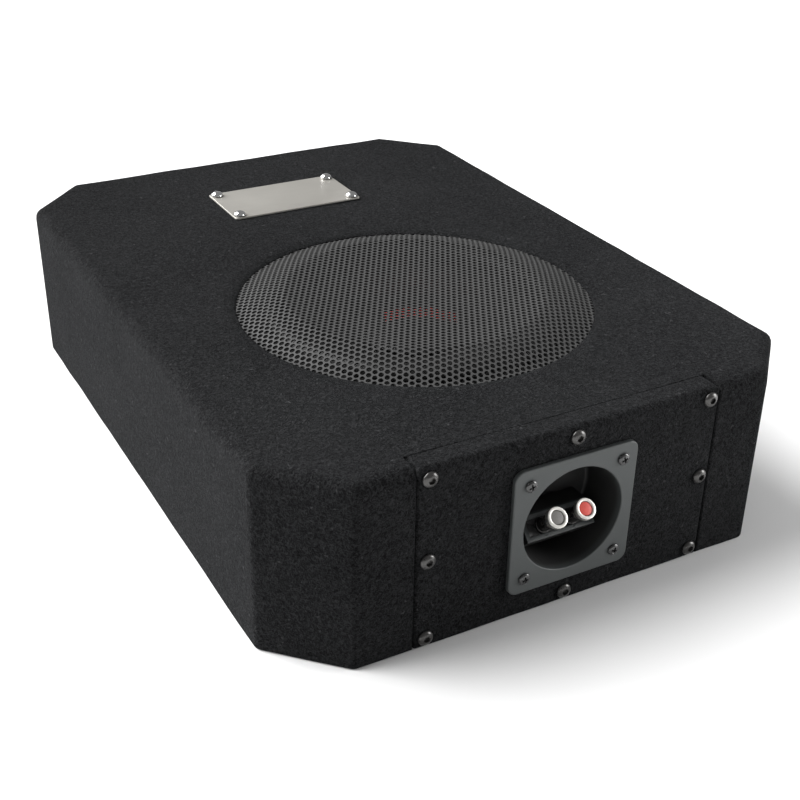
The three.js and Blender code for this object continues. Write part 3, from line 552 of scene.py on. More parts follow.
def arc(centre, radii, start, end, steps):
    """Points on part of an ellipse, in degrees."""
    sweep = [math.radians(start + (end - start) * i / steps) for i in range(steps + 1)]
    return [(centre[0] + radii[0] * math.cos(a), centre[1] + radii[1] * math.sin(a)) for a in sweep]


def screw_mesh(name, head, rise, shank, length, finish, drive=None):
    """A screw with its seat at z = 0 and its head above."""
    rim = 0.4 * MM
    profile = [(0, -length), (shank * 0.3, -length + shank), (shank, -length + shank * 2.5), (shank, 0)]
    profile += arc((head - rim, rim), (rim, rim), -90, 0, 3)
    profile += arc((0, rim), (head, rise - rim), 6, 90, 8)
    profile[-1] = (0, rise)
    made = shown(name, turned(profile, SCREW_SIDES), finish, 30)
    if drive:
        carve(made, drive, crease=30)
    data = made.data
    bpy.data.objects.remove(made)
    return data


def hex_socket(radius, bottom, top):
    flare_out = radius * 1.12
    shape = bmesh.new()
    sides = [math.radians(60 * i) for i in range(6)]
    heights = [(radius, bottom), (radius, top - 0.25 * MM), (flare_out, top), (flare_out, top + 2 * MM)]
    return clean(loft(shape, [[(r * math.cos(a), r * math.sin(a), z) for a in sides] for r, z in heights]))


def cross_recess(reach, width, bottom, top):
    """Two tapered arms at right angles."""
    corners = []
    for quarter in range(4):
        turn = Matrix.Rotation(math.pi / 2 * quarter, 2)
        corners += [turn @ Vector(at) for at in ((reach, -width), (reach, width), (width, width))]
    shape = bmesh.new()
    levels = [(0.45, bottom), (1, top), (1, top + 2 * MM)]
    return clean(loft(shape, [[(p.x * s, p.y * s, z) for p in corners] for s, z in levels]))


def placed(name, data, matrix, body, slot, *nodes):
    """One more copy of a mesh, in its place."""
    made = bpy.data.objects.new(name, data)
    made.matrix_world = matrix
    link(made)
    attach(made, body)
    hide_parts(*nodes)
    return made


black_screw = Finish("black_oxide_steel", Metallic=0.75, Coat_Weight=0.25, Coat_Roughness=0.15)
scuff = black_screw.grain(900, 3, 0.5)
black_screw.vary(scuff, grey(0.04), grey(0.09, 0.04), 0.2, 0.2)
black_screw.relief(black_screw.grain(2500, 2), 0.03 * MM, 0.5)

panel_screw = screw_mesh(
    "panel_screw", head=4.4 * MM, rise=2.5 * MM, shank=1.8 * MM, length=30 * MM, finish=black_screw,
    drive=hex_socket(radius=2.05 * MM, bottom=0.9 * MM, top=2.65 * MM),
)
rows = {"top": HEIGHT - PANEL_SCREW_EDGE, "middle": CUP_Z, "bottom": PANEL_SCREW_EDGE}
columns = {"left": -PANEL_SCREW_X, "centre": 0, "right": PANEL_SCREW_X}
random.seed(7)
for row, z in rows.items():
    for column, x in columns.items():
        if row == "middle" and column == "centre":
            continue
        name = f"panel_screw_{row}_{column}"
        spin = Matrix.Rotation(random.uniform(0, math.pi), 4, "Z")
        at = Matrix.Translation((x, FRONT - GAP, z)) @ LEVEL_Y @ spin
        placed(f"{name}_steel", panel_screw, at, "enclosure", "black_screw", name)

# ---- the terminal cup ----
# One moulding in satin grey ABS: a square plate with a round recess and, in its lower half, a
# block whose face slopes up at 45 degrees and carries the two posts between low ribs.
CUP_RECESS = 31 * MM
CUP_FRAME = 7.4 * MM
CUP_CORNER = 6 * MM
CUP_PLATE = 3 * MM
CUP_WALL = 2.2 * MM
CUP_DEPTH = 28 * MM
CUP_SCREW_INSET = 9.5 * MM
BLOCK_HALF = 21.5 * MM
BLOCK_START = 5.6 * MM
BLOCK_DROP = 14.2 * MM
BLOCK_SLOPE = 14.2 * MM
BLOCK_RIB = 2.4 * MM
BLOCK_RIB_HEIGHT = 2 * MM
TILT = math.radians(45)
POST_PITCH = 18 * MM
TAIL_RADIUS = 3.4 * MM

low_edge = Vector((BLOCK_START, -BLOCK_DROP))
slope_way = Vector((math.sin(TILT), math.cos(TILT)))
slope_out = Vector((-math.cos(TILT), math.sin(TILT)))
slope_middle = low_edge + slope_way * BLOCK_SLOPE / 2
high_edge = low_edge + slope_way * BLOCK_SLOPE
post_foot = slope_middle - slope_out * BLOCK_RIB_HEIGHT
cup_half = CUP_RECESS + CUP_FRAME
cup_back = CUP_DEPTH + CUP_WALL


def across(points, half, rounding=0.0):
    """A bar along X, its section drawn as (depth behind the panel's face, height from the cup's middle)."""
    corners = [(depth, height, rounding) for depth, height in points]
    section = outline(corners, 0, 3)
    area = sum(a.cross(b) for a, b in zip(section, section[1:] + section[:1]))
    if area < 0:
        section = outline(corners[::-1], 0, 3)
    loops = [[Vector((x, FRONT + p.x, CUP_Z + p.y)) for p in section] for x in (-half, half)]
    return clean(loft(bmesh.new(), loops))


def cup_rod(radius, start, end, sides=96):
    """A rod along the cup's axis between two depths."""
    return facing_out(turned([(0, -end), (radius, -end), (radius, -start), (0, -start)], sides), z=CUP_Z)


cup_grey = Finish("grey_moulding", Specular_IOR_Level=0.45)
stipple = cup_grey.grain(2600, 2)
mottle = cup_grey.grain(60, 3)
cup_face = cup_grey.tint(mottle * 0.6 + stipple * 0.4, (0.044, 0.049, 0.049, 1), (0.062, 0.067, 0.067, 1))
# painted shade: the recess behind the plate's face is coloured darker for the shade in it, though the
# moulding is one grey
cup_painted_shade = cup_grey.tint(mottle, grey(0.016), grey(0.028))
cup_across, cup_depth, cup_height = cup_grey.axes()
cup_depth, cup_height = cup_depth - FRONT, cup_height - CUP_Z
# mask for the painted shade: deeper than the plate's face, less the ribs' raised faces
behind = cup_grey.step(cup_depth, -2 * MM, 3 * MM)
above_slope = (cup_depth - slope_middle.x) * slope_out.x + (cup_height - slope_middle.y) * slope_out.y
from_axis = (cup_across ** 2 + cup_height ** 2) ** 0.5
on_ribs = cup_grey.step(above_slope, -1.4 * MM, -0.6 * MM)
on_ribs = on_ribs * cup_grey.step(CUP_RECESS - from_axis, 3 * MM, 4 * MM)
cup_grey.feed("Base Color", cup_grey.tint(behind * (1 - on_ribs), cup_face, cup_painted_shade))
cup_grey.feed("Roughness", stipple * 0.14 + 0.4)
cup_grey.relief(stipple, 0.05 * MM, 0.6)

plate_edge = edge_profile(0.8 * MM, GAP, CUP_PLATE, 0.2 * MM, 4)
cup_shape = facing_out(slab(rectangle(cup_half, cup_half, CUP_CORNER), plate_edge, 10), z=CUP_Z)
cup = shown("terminal_moulding", cup_shape, cup_grey, 30, True)
carve(cup, cup_rod(CUP_RECESS + CUP_WALL, -1 * MM, cup_back), operation="UNION")
mouth, fillet = 0.7 * MM, 2 * MM
recess_profile = [(0, -CUP_DEPTH)]
recess_profile += arc((CUP_RECESS - fillet, fillet - CUP_DEPTH), (fillet, fillet), -90, 0, 5)
recess_profile += [(CUP_RECESS, CUP_PLATE - mouth)]
recess_profile += arc((CUP_RECESS + mouth, CUP_PLATE - mouth), (mouth, mouth), 180, 90, 4)
recess_profile += [(CUP_RECESS + mouth, CUP_PLATE + 2 * MM), (0, CUP_PLATE + 2 * MM)]
carve(cup, facing_out(turned(recess_profile, 96), z=CUP_Z))
foot = -CUP_RECESS + 4 * MM
block_section = [
    low_edge,
    high_edge,
    Vector((cup_back, high_edge.y)),
    Vector((cup_back, foot)),
    low_edge - slope_out * ((low_edge.y - foot) / math.sin(TILT)),
]
block = shown("block", across(block_section, BLOCK_HALF, 0.5 * MM), cup_grey)
to_rib = slope_way * (BLOCK_SLOPE / 2 - BLOCK_RIB)
clear = slope_out * 8 * MM
trough = [post_foot - to_rib, post_foot + to_rib, post_foot + to_rib + clear, post_foot - to_rib + clear]
carve(block, across(trough, BLOCK_HALF - BLOCK_RIB, 0.0))
carve(block, cup_rod(CUP_RECESS + CUP_WALL / 2, 0, cup_back - CUP_WALL / 2), operation="INTERSECT")
block_shape = bmesh.new()
block_shape.from_mesh(block.data)
bpy.data.objects.remove(block)
carve(cup, block_shape, operation="UNION")
SEATS = {"black": -POST_PITCH / 2, "red": POST_PITCH / 2}
seat_matrix = {
    colour: Matrix.Translation((x, FRONT + post_foot.x, CUP_Z + post_foot.y)) @ Matrix.Rotation(TILT, 4, "X")
    for colour, x in SEATS.items()
}
tail_hole_radius = TAIL_RADIUS + GAP
for matrix in seat_matrix.values():
    tail_profile = [(0, -14 * MM), (tail_hole_radius, -14 * MM), (tail_hole_radius, 1 * MM), (0, 1 * MM)]
    tail_hole = turned(tail_profile, 32)
    bmesh.ops.transform(tail_hole, verts=tail_hole.verts, matrix=matrix)
    carve(cup, tail_hole)


def polarity_mark(x, bars):
    """A raised sign on the lower rib, as bars of (half width, half height)."""
    marks = []
    for half_width, half_height in bars:
        shape = bmesh.new()
        loops = []
        for level, shrink in ((-0.2 * MM, 1), (0.3 * MM, 0.85)):
            middle = low_edge + slope_way * BLOCK_RIB / 2 + slope_out * level
            ring = []
            for across_mark, along_slope, _ in rectangle(half_width * shrink, half_height * shrink, 0):
                at = middle + slope_way * along_slope
                ring.append(Vector((x + across_mark, FRONT + at.x, CUP_Z + at.y)))
            loops.append(ring)
        marks.append(clean(loft(shape, loops)))
    return marks


BAR, STROKE = 0.85 * MM, 0.22 * MM
carve(cup, *polarity_mark(SEATS["black"], [(BAR, STROKE)]), operation="UNION")
carve(cup, *polarity_mark(SEATS["red"], [(BAR, STROKE), (STROKE, BAR)]), operation="UNION", crease=30)
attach(cup, "enclosure")
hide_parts("terminal_cup")

phosphate = Finish("black_phosphate", Specular_IOR_Level=0.6, Coat_Weight=0.6, Coat_Roughness=0.12)
bloomed = phosphate.grain(1100, 3)
phosphate.vary(bloomed, grey(0.004), grey(0.012), 0.2, 0.15, 0.03 * MM)
cup_screw = screw_mesh(
    "cup_screw", head=3.5 * MM, rise=1.6 * MM, shank=1.4 * MM, length=13 * MM, finish=phosphate,
    drive=cross_recess(reach=2.2 * MM, width=0.55 * MM, bottom=0.4 * MM, top=1.65 * MM),
)
cup_reach = cup_half - CUP_SCREW_INSET
for row, z in (("lower", -1), ("upper", 1)):
    for column, x in (("left", -1), ("right", 1)):
        name = f"terminal_screw_{row}_{column}"
        spin = Matrix.Rotation(random.uniform(0, math.pi), 4, "Z")
        seat = Vector((x * cup_reach, FRONT - CUP_PLATE - GAP, CUP_Z + z * cup_reach))
        at = Matrix.Translation(seat) @ LEVEL_Y @ spin
        placed(f"{name}_steel", cup_screw, at, "enclosure", "black_screw", name)

# ---- the push posts ----
# Turned black-plated brass barrels pressed into the block. A nickel cap on a stem, with a coloured
# plastic disc let into its face, is pushed against a coil spring to open the cross hole for the wire.
BARREL = 3.9 * MM
COLLAR = 4.4 * MM
BARREL_HEIGHT = 11 * MM
TAIL_LENGTH = 8 * MM
BORE = 2.6 * MM
STEM = 2.1 * MM
STEM_LENGTH = 12 * MM
CAP_RADIUS = 5.9 * MM
CAP_HEIGHT = 3.4 * MM
CAP_REST = 15.6 * MM
CAP_TRAVEL = 4 * MM
CAP_LIP = 1.9 * MM
CAP_SINK = 1.4 * MM  # depth of the pocket for the disc
WIRE_RADIUS = 1.4 * MM
WIRE_HOLE_DOWN = 2.6 * MM  # from the barrel's end to the cross hole
LUG_HALF_WIDTH, LUG_HALF_SHEET = 1.7 * MM, 0.6 * MM
SPRING_RADIUS, SPRING_WIRE, SPRING_TURNS = 1.7 * MM, 0.3 * MM, 4


def rounded_profile(points, rounding, steps=3):
    """A turned profile of (radius, height) points with its corners softened; those on the axis stay."""
    corners = [(r, z, 0 if r < 1e-7 else rounding) for r, z in points]
    return [tuple(p) for p in outline(corners, 0, steps)]


def at_seat(shape, colour):
    bmesh.ops.transform(shape, verts=shape.verts, matrix=seat_matrix[colour])
    return shape


def sweep(path, radius, sides, closed_ends=True):
    """A round rod along points."""
    shape = bmesh.new()
    loops = []
    guide = Vector((0, 0, 1)) if abs((path[1] - path[0]).normalized().z) < 0.9 else Vector((1, 0, 0))
    for index, point in enumerate(path):
        along = (path[min(index + 1, len(path) - 1)] - path[max(index - 1, 0)]).normalized()
        sideways = along.cross(guide).normalized()
        guide = sideways.cross(along).normalized()
        angles = [2 * math.pi * i / sides for i in range(sides)]
        loops.append([point + radius * (math.cos(a) * sideways + math.sin(a) * guide) for a in angles])
    return clean(loft(shape, loops, closed_ends))


dark_plating = Finish("black_plating", Metallic=0.9)
tarnish = dark_plating.grain(500, 3)
dark_plating.vary(tarnish, grey(0.05), grey(0.11, 0.04), 0.22, 0.15)
dark_plating.relief(dark_plating.grain(300, 2, 0, (0.05, 0.05, 9)), 0.05 * MM, 0.3)
nickel = Finish("bright_nickel", Metallic=1.0)
polish = nickel.grain(700, 3)
nickel.vary(polish, (0.8, 0.78, 0.72, 1), (0.93, 0.92, 0.88, 1), 0.32, 0.1)
nickel.relief(nickel.grain(3000, 2), 0.01 * MM, 0.15)
spring_steel = Finish("spring_steel", Metallic=1.0)
drawn = spring_steel.grain(1500, 2, 0, (1, 1, 0.2))
spring_steel.vary(drawn, grey(0.42), grey(0.62), 0.25, 0.2)
disc_colours = {
    "black": (grey(0.19, 0.04), grey(0.26, 0.04)),
    "red": ((0.74, 0.085, 0.065, 1), (0.88, 0.14, 0.11, 1)),
}
discs = {}
for colour, (dull, bright) in disc_colours.items():
    discs[colour] = Finish(f"{colour}_disc", Specular_IOR_Level=0.5)
    speck = discs[colour].grain(1200, 3)
    discs[colour].vary(speck, dull, bright, 0.3, 0.2, 0.03 * MM)

cap_top = CAP_REST + CAP_HEIGHT
barrel_profile = rounded_profile([
    (0, -TAIL_LENGTH - 1.5 * MM), (TAIL_RADIUS, -TAIL_LENGTH - 1.5 * MM), (TAIL_RADIUS, GAP),
    (COLLAR, GAP), (COLLAR, GAP + 1.6 * MM), (BARREL, GAP + 1.6 * MM), (BARREL, BARREL_HEIGHT),
    (BORE, BARREL_HEIGHT), (BORE, -TAIL_LENGTH), (0, -TAIL_LENGTH),
], 0.25 * MM)
cap_profile = rounded_profile([
    (0, CAP_REST - STEM_LENGTH), (STEM, CAP_REST - STEM_LENGTH), (STEM, CAP_REST),
    (CAP_RADIUS, CAP_REST), (CAP_RADIUS, cap_top), (CAP_RADIUS - CAP_LIP, cap_top),
    (CAP_RADIUS - CAP_LIP, cap_top - CAP_SINK), (0, cap_top - CAP_SINK),
], 0.35 * MM)
disc_radius = CAP_RADIUS - CAP_LIP - GAP
disc_profile = rounded_profile([
    (0, cap_top - CAP_SINK + GAP), (disc_radius, cap_top - CAP_SINK + GAP),
    (disc_radius, cap_top - 0.45 * MM), (0, cap_top - 0.4 * MM),
], 0.2 * MM)
coil_bottom, coil_steps = -TAIL_LENGTH + 0.8 * MM, 96
coil_height = CAP_REST - STEM_LENGTH + TAIL_LENGTH - 1.6 * MM
coil_path = []
for i in range(coil_steps + 1):
    share = i / coil_steps
    angle = 2 * math.pi * SPRING_TURNS * share
    height = coil_bottom + coil_height * share
    coil_path.append(Vector((SPRING_RADIUS * math.cos(angle), SPRING_RADIUS * math.sin(angle), height)))
crossing = [Vector((x, 0, BARREL_HEIGHT - WIRE_HOLE_DOWN)) for x in (-8 * MM, 0, 8 * MM)]

for colour, seat in seat_matrix.items():
    barrel = shown(f"post_barrel_{colour}", at_seat(turned(barrel_profile, 40), colour), dark_plating, 40)
    lug_ends = [(0, -TAIL_LENGTH - 7 * MM), (0, -TAIL_LENGTH - 1 * MM)]
    lug = slab(rectangle(LUG_HALF_WIDTH, LUG_HALF_SHEET, 0.2 * MM), lug_ends)
    carve(barrel, at_seat(lug, colour), operation="UNION")
    carve(barrel, at_seat(sweep(crossing, WIRE_RADIUS, 20), colour), crease=40)
    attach(barrel, "enclosure")
    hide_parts(f"terminal_post_{colour}")

    cap = shown(f"cap_ring_{colour}", at_seat(turned(cap_profile, 48), colour), nickel, 40)
    raised = [at + Vector((0, 0, CAP_TRAVEL)) for at in crossing]
    carve(cap, at_seat(sweep(raised, WIRE_RADIUS, 20), colour), crease=40)
    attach(cap, f"push_button_{colour}")
    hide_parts(f"push_cap_{colour}")

    disc = shown(f"cap_disc_{colour}", at_seat(turned(disc_profile, 40), colour), discs[colour], 40)
    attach(disc, f"push_button_{colour}")
    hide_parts(f"cap_insert_{colour}")

    coil_shape = at_seat(sweep(coil_path, SPRING_WIRE, 8), colour)
    coil = shown(f"post_coil_{colour}", coil_shape, spring_steel, 60)
    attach(coil, "enclosure")
    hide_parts(f"post_spring_{colour}")
    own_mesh(coil)

# ---- the speaker wires ----
# Two soft insulated wires inside the box, from the posts' tails to the tags on the driver.
sleeve_colours = {
    "black": (grey(0.012), grey(0.03)),
    "red": ((0.25, 0.01, 0.008, 1), (0.4, 0.02, 0.015, 1)),
}
for colour, (dull, bright) in sleeve_colours.items():
    sleeve = Finish(f"{colour}_sleeve", Specular_IOR_Level=0.4)
    skin = sleeve.grain(500, 3)
    sleeve.vary(skin, dull, bright, 0.4, 0.25)
    clothe(sleeve, f"{colour}_wire", f"speaker_wire_{colour}")

# ---- the driver's frame and motor ----
# A pressed steel basket on a foam gasket, with a zinc-plated top plate and yoke either side of a
# ferrite ring. Screws hold its flange in a rebate in the top board, under the grille.
powder = Finish("black_paint", Specular_IOR_Level=0.5)
peel = powder.grain(900, 3)
powder.vary(peel, grey(0.012), grey(0.024), 0.35, 0.2, 0.08 * MM)
clothe(powder, "basket_coat", "basket")
foam = Finish("closed_foam", Specular_IOR_Level=0.2)
cells = foam.grain(1800, 3)
foam.vary(cells, grey(0.008), grey(0.022), 0.85, 0.1, 0.2 * MM, 0.8)
clothe(foam, "foam", "woofer_gasket")
zinc = Finish("zinc_plate", Metallic=1.0)
spangle = zinc.grain(180, 4, 1.0)
zinc.vary(spangle, grey(0.36), grey(0.55, -0.02), 0.25, 0.25)
clothe(zinc, "zinc_steel", "top_plate", "yoke")
ferrite = Finish("ferrite", Specular_IOR_Level=0.4)
grit = ferrite.grain(1200, 4)
ferrite.vary(grit, grey(0.025, 0.05), grey(0.06), 0.55, 0.25, 0.1 * MM, 0.6)
clothe(ferrite, "ferrite", "magnet")
former = Finish("brown_former", Specular_IOR_Level=0.5)
winding = former.grain(200, 2, 0, (0.05, 0.05, 12))
former.vary(winding, (0.16, 0.06, 0.02, 1), (0.42, 0.2, 0.07, 1), 0.3, 0.3, 0.1 * MM)
clothe(former, "coil_former", "voice_coil")
tag_board = Finish("tag_board", Specular_IOR_Level=0.4)
layers = tag_board.grain(300, 3, 0.5, (1, 1, 6))
tag_board.vary(layers, (0.1, 0.045, 0.02, 1), (0.24, 0.12, 0.05, 1), 0.45, 0.2)
clothe(tag_board, "strip_board", "woofer_terminal_strip")

FLANGE_RADIUS = 103.5 * MM
FLANGE_WIDTH = 11 * MM
FLANGE_TOP = 102.9 * MM
woofer_screw = screw_mesh(
    "woofer_screw", head=4 * MM, rise=2.2 * MM, shank=1.9 * MM, length=10.5 * MM, finish=black_screw,
    drive=cross_recess(reach=2.2 * MM, width=0.45 * MM, bottom=0.6 * MM, top=2.25 * MM),
)
for index in range(4):
    angle = math.radians(45 + 90 * index)
    reach = FLANGE_RADIUS - 4.5 * MM
    name = f"woofer_screw_{index + 1}"
    at = Matrix.Translation((reach * math.cos(angle), GRILLE_Y + reach * math.sin(angle), FLANGE_TOP + GAP))
    placed(f"{name}_steel", woofer_screw, at, "enclosure", "black_screw", name)

# ---- the cone, dust cap, surround and spider ----
# A pressed paper cone with a half-roll rubber surround and a domed cap that bears a plain red
# stripe. The corrugated cloth spider centres the coil. The cone and the cap ride up and down on the coil.
CUTOUT = FLANGE_RADIUS - FLANGE_WIDTH
CONE_RADIUS = 79 * MM
CONE_SHEET = 1.4 * MM
CONE_DEPTH = 18 * MM
COIL_OUTSIDE = 19.4 * MM
CONE_NECK = COIL_OUTSIDE + GAP + CONE_SHEET / 2
NECK_Z = FLANGE_TOP - CONE_SHEET / 2 - CONE_DEPTH
SPIDER_Z = NECK_Z - 15 * MM
SPIDER_RADIUS = 59 * MM
ROLL = 5.4 * MM
RUBBER = 1.2 * MM
DUST_CAP_RADIUS = 37 * MM
DUST_CAP_RISE = 9 * MM
DUST_CAP_SHEET = 1 * MM
SPIDER_WAVES, SPIDER_WAVE, SPIDER_SHEET = 4, 0.8 * MM, 0.8 * MM
DRIVER_SIDES = 96


def thick(line, thickness):
    """The closed profile of a sheet that follows a middle line of (radius, height) points."""
    upper, lower = [], []
    for index, point in enumerate(line):
        here = Vector(point)
        before, after = Vector(line[max(index - 1, 0)]), Vector(line[min(index + 1, len(line) - 1)])
        along = (after - before).normalized()
        normal = Vector((-along.y, along.x)) * thickness / 2
        if here.x < 1e-7:
            normal.x = 0
        upper.append(tuple(here + normal))
        lower.append(tuple(here - normal))
    return upper + lower[::-1]


def at_woofer(shape):
    bmesh.ops.translate(shape, verts=shape.verts, vec=(0, GRILLE_Y, 0))
    return shape


def radial_weights(made, inner, outer):
    """Works out by radius the enclosure's share of each vertex in a piece between the cone and the
    enclosure, and keeps none of it.
    """
    for vertex in made.data.vertices:
        radius = math.hypot(vertex.co.x, vertex.co.y - GRILLE_Y)
        share = min(max((radius - inner) / (outer - inner), 0), 1)
        share * share * (3 - 2 * share)


paper = Finish("black_paper", Specular_IOR_Level=0.35)
pulp = paper.grain(600, 4, 1.5)
paper.vary(pulp, grey(0.014), grey(0.03), 0.5, 0.25, 0.15 * MM, 0.7)
cone_line = [(CONE_NECK, NECK_Z - 4 * MM), (CONE_NECK, NECK_Z - 0.6 * MM)]
cone_line += [(CONE_NECK + 0.6 * MM, NECK_Z + 0.3 * MM)]
for share in (0.1, 0.25, 0.4, 0.55, 0.7, 0.85, 1):
    cone_line.append((CONE_NECK + (CONE_RADIUS - CONE_NECK) * share, NECK_Z + CONE_DEPTH * share))
cone = shown("paper_cone", at_woofer(turned(thick(cone_line, CONE_SHEET), DRIVER_SIDES)), paper, 50)
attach(cone, "cone_assembly")
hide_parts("cone")

STRIPE_LENGTH = 44 * MM
STRIPE_WIDTH = 15 * MM
STRIPE_TURN = math.radians(-24)
STRIPE_MIDDLE = (4 * MM, GRILLE_Y, 0)
striped = Finish("striped_cap", Specular_IOR_Level=0.45)
weave = striped.grain(700, 3, 0.5)
from_centre = striped.node("VectorMath", {"operation": "SUBTRACT"}, {0: striped.place, 1: STRIPE_MIDDLE})
turn_back = {"Vector": from_centre, "Angle": -STRIPE_TURN}
along_stripe = striped.node("VectorRotate", {"rotation_type": "Z_AXIS"}, turn_back)
from_end = abs(striped.node("SeparateXYZ", None, {0: along_stripe}, "X")) - STRIPE_LENGTH / 2
from_side = abs(striped.node("SeparateXYZ", None, {0: along_stripe}, "Y")) - STRIPE_WIDTH / 2
on_stripe = 1 - striped.step(from_end.math("MAXIMUM", from_end, from_side), -0.3 * MM, 0.3 * MM)
black_cap = striped.tint(weave, grey(0.014), grey(0.03))
striped.feed("Base Color", striped.tint(on_stripe, black_cap, (0.62, 0.03, 0.02, 1)))
striped.feed("Roughness", weave * 0.2 + 0.35)
striped.relief(weave, 0.06 * MM, 0.5)
cone_slope = CONE_DEPTH / (CONE_RADIUS - CONE_NECK)
cap_base = NECK_Z + (DUST_CAP_RADIUS - CONE_NECK) * cone_slope + CONE_SHEET + 2 * GAP
cap_line = []
for i in range(13):
    share = 1 - i / 12
    cap_line.append((DUST_CAP_RADIUS * share, cap_base + DUST_CAP_RISE * (1 - share * share)))
dust_cap = shown(
    "domed_dust_cap", at_woofer(turned(thick(cap_line, DUST_CAP_SHEET), DRIVER_SIDES)), striped, 50
)
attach(dust_cap, "cone_assembly")
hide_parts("dust_cap")

rubber = Finish("black_rubber", Specular_IOR_Level=0.5)
bloom = rubber.grain(250, 4)
rubber.vary(bloom, grey(0.01), grey(0.022), 0.4, 0.25)
rubber.relief(rubber.grain(1500, 2), 0.05 * MM, 0.5)
land = FLANGE_TOP + GAP + RUBBER / 2
roll_middle = (CONE_RADIUS + CUTOUT) / 2
roll_line = [(CONE_RADIUS - 4 * MM, land), (CONE_RADIUS - 1 * MM, land)]
roll_line += arc((roll_middle, land), (ROLL, ROLL), 180, 0, 14)
roll_line += [(CUTOUT - 0.4 * MM, land), (CUTOUT + 1 * MM, land)]
surround = shown("half_roll_surround", at_woofer(turned(thick(roll_line, RUBBER), DRIVER_SIDES)), rubber, 60)
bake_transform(surround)
radial_weights(surround, CONE_RADIUS, CUTOUT)
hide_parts("surround")

spider_cloth = Finish("resin_cloth", Specular_IOR_Level=0.2)
threads = spider_cloth.grain(1200, 3, 0.2)
spider_cloth.vary(threads, (0.26, 0.15, 0.05, 1), (0.5, 0.32, 0.12, 1), 0.75, 0.15, 0.2 * MM, 0.8)
spider_line = []
spider_inner = COIL_OUTSIDE + GAP
for i in range(49):
    share = i / 48
    wave = 0
    if 1 / 8 < share < 7 / 8:
        wave = SPIDER_WAVE * (1 - math.cos(2 * math.pi * (share - 1 / 8) * SPIDER_WAVES))
    spider_line.append((spider_inner + (SPIDER_RADIUS - spider_inner) * share, SPIDER_Z + wave))
spider_shape = at_woofer(turned(thick(spider_line, SPIDER_SHEET), DRIVER_SIDES))
spider = shown("corrugated_spider", spider_shape, spider_cloth, 60)
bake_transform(spider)
radial_weights(spider, spider_inner + 3 * MM, SPIDER_RADIUS - 5 * MM)
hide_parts("spider")

# ---- the grille ----
# A disc of punched steel, 1 mm thick, pressed to a ridge with a sloping band outside it and a
# slightly dished crown inside, and powder-coated black. The holes stand in staggered rows, and
# the disc's cut edge runs straight through them.
HOLE_PITCH = 3.88 * MM
HOLE_RADIUS = 1.58 * MM
GRILLE_SHEET = 1 * MM
GRILLE_SEAT = 3 * MM
GRILLE_STEP = 0.5 * MM
GRILLE_BAND = 26 * MM
GRILLE_RISE = 8.5 * MM
GRILLE_DISH = 2.5 * MM
GRILLE_RIM_Z = HEIGHT - FELT + GRILLE_SHEET / 2


def grille_height(radius):
    """Height of the sheet's middle at a distance from the centre."""
    band = GRILLE_RADIUS - GRILLE_SEAT
    if radius > band:
        return GRILLE_RIM_Z + GRILLE_STEP * (GRILLE_RADIUS - radius) / GRILLE_SEAT
    if radius > band - GRILLE_BAND:
        share = (band - radius) / GRILLE_BAND
        return GRILLE_RIM_Z + GRILLE_STEP + (GRILLE_RISE - GRILLE_STEP) * share * (1.35 - 0.35 * share)
    share = radius / (band - GRILLE_BAND)
    return GRILLE_RIM_Z + GRILLE_RISE - GRILLE_DISH * (1 - share * share)


def crossing_point(inner, outer, radius):
    """Where a line from inside a circle to outside it meets the circle."""
    way = outer - inner
    a, b, c = way.dot(way), 2 * inner.dot(way), inner.dot(inner) - radius * radius
    return inner + way * ((-b + math.sqrt(b * b - 4 * a * c)) / (2 * a))


def clipped(corners, radius):
    """A small polygon cut off at the grille's rim."""
    kept = []
    for index, here in enumerate(corners):
        before = corners[index - 1]
        if (here.length <= radius) != (before.length <= radius):
            near, far = (here, before) if here.length <= radius else (before, here)
            kept.append(crossing_point(near, far, radius))
        if here.length <= radius:
            kept.append(here)
    return kept


column_step = HOLE_PITCH * math.sqrt(3) / 2


def towards(degrees):
    """A unit vector."""
    return Vector((math.cos(math.radians(degrees)), math.sin(math.radians(degrees))))


corner_reach = HOLE_PITCH / math.sqrt(3)
edge_angles = [0, 60, 90, 120, 180, 240, 270, 300]
cell_edge = [towards(a) * (HOLE_PITCH / 2 if a % 180 == 90 else corner_reach) for a in edge_angles]
cell_hole = [towards(45 * i) * HOLE_RADIUS for i in range(8)]
punched = bmesh.new()
column_count = int(GRILLE_RADIUS / column_step) + 2
row_count = int(GRILLE_RADIUS / HOLE_PITCH) + 2
for column in range(-column_count, column_count + 1):
    for row in range(-row_count, row_count + 1):
        centre = Vector((column * column_step, (row + (column % 2) / 2) * HOLE_PITCH))
        if centre.length > GRILLE_RADIUS + HOLE_PITCH:
            continue
        for i in range(8):
            j = (i + 1) % 8
            quad = [centre + at for at in (cell_edge[i], cell_edge[j], cell_hole[j], cell_hole[i])]
            corners = clipped(quad, GRILLE_RADIUS)
            if len(corners) > 2:
                # turned a quarter, so that the rows run across the box
                punched.faces.new([punched.verts.new((-p.y, p.x, grille_height(p.length))) for p in corners])
bmesh.ops.remove_doubles(punched, verts=punched.verts, dist=0.02 * MM)
bmesh.ops.dissolve_degenerate(punched, edges=punched.edges, dist=0.01 * MM)
bmesh.ops.recalc_face_normals(punched, faces=punched.faces)
if sum(face.normal.z for face in punched.faces) < 0:
    bmesh.ops.reverse_faces(punched, faces=punched.faces)
steel_coat = Finish("grille_coat", Specular_IOR_Level=0.22)
coat_grain = steel_coat.grain(1400, 3)
coat_wear = steel_coat.grain(90, 3)
steel_coat.feed("Base Color", steel_coat.tint(coat_grain * 0.6 + coat_wear * 0.4, grey(0.034), grey(0.06)))
steel_coat.feed("Roughness", coat_grain * 0.2 + 0.48)
steel_coat.relief(coat_grain, 0.05 * MM, 0.5)
grille = shown("punched_grille", at_woofer(punched), steel_coat, 40)
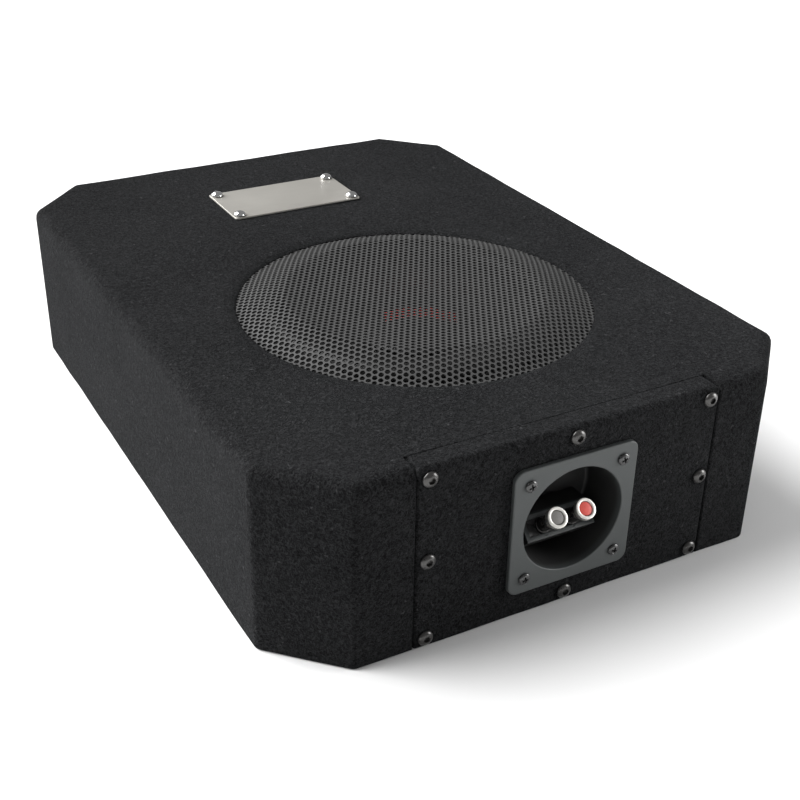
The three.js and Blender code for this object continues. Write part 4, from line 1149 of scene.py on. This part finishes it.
sheet = grille.modifiers.new("sheet", "SOLIDIFY")
sheet.thickness, sheet.offset = GRILLE_SHEET, 0
grille.data = bpy.data.meshes.new_from_object(grille.evaluated_get(bpy.context.evaluated_depsgraph_get()))
grille.modifiers.clear()
grille.data.set_sharp_from_angle(angle=math.radians(40))
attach(grille, "enclosure")
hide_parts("grille")

# ---- the nameplate ----
# A thin satin steel plate, brushed along its length and left blank, under four chrome dome screws.
PLATE_WIDTH, PLATE_DEPTH, PLATE_SHEET = 96 * MM, 52 * MM, 1.2 * MM
PLATE_Y = LENGTH / 2 - 97 * MM
PLATE_SCREW_INSET = 4.8 * MM
PLATE_CORNER = 2 * MM
brushed = Finish("satin_steel", Metallic=0.65, Specular_IOR_Level=0.3)
strokes = brushed.grain(160, 4, 0.2, (0.25, 9, 1), 0.7)
cloud = brushed.grain(24, 4, 0.6)
dull_steel, bright_steel = (0.3, 0.288, 0.264, 1), (0.47, 0.456, 0.424, 1)
brushed.feed("Base Color", brushed.tint(strokes * 0.5 + cloud * 0.5, dull_steel, bright_steel))
brushed.feed("Roughness", cloud * 0.14 + strokes * 0.16 + 0.28)
brushed.relief(strokes, 0.05 * MM, 0.5)
nameplate_corners = rectangle(PLATE_WIDTH / 2, PLATE_DEPTH / 2, PLATE_CORNER)
nameplate_shape = slab(nameplate_corners, edge_profile(0.35 * MM, 0, PLATE_SHEET, 0.2 * MM, 3), 6)
bmesh.ops.translate(nameplate_shape, verts=nameplate_shape.verts, vec=(0, PLATE_Y, HEIGHT + GAP))
nameplate = shown("blank_nameplate", nameplate_shape, brushed, 40, True)
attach(nameplate, "enclosure")
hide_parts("nameplate")

chrome = Finish("chrome", Metallic=1.0)
haze = chrome.grain(900, 3)
chrome.vary(haze, grey(0.62), grey(0.78), 0.08, 0.1)
plate_screw = screw_mesh(
    "plate_screw", head=4.2 * MM, rise=3 * MM, shank=1.6 * MM, length=13 * MM, finish=chrome
)
plate_x, plate_y = PLATE_WIDTH / 2 - PLATE_SCREW_INSET, PLATE_DEPTH / 2 - PLATE_SCREW_INSET
for end, y in (("front", -1), ("rear", 1)):
    for side, x in (("left", -1), ("right", 1)):
        name = f"nameplate_screw_{end}_{side}"
        at = Matrix.Translation((x * plate_x, PLATE_Y + y * plate_y, HEIGHT + PLATE_SHEET + 2 * GAP))
        placed(f"{name}_chrome", plate_screw, at, "enclosure", "chrome", name)
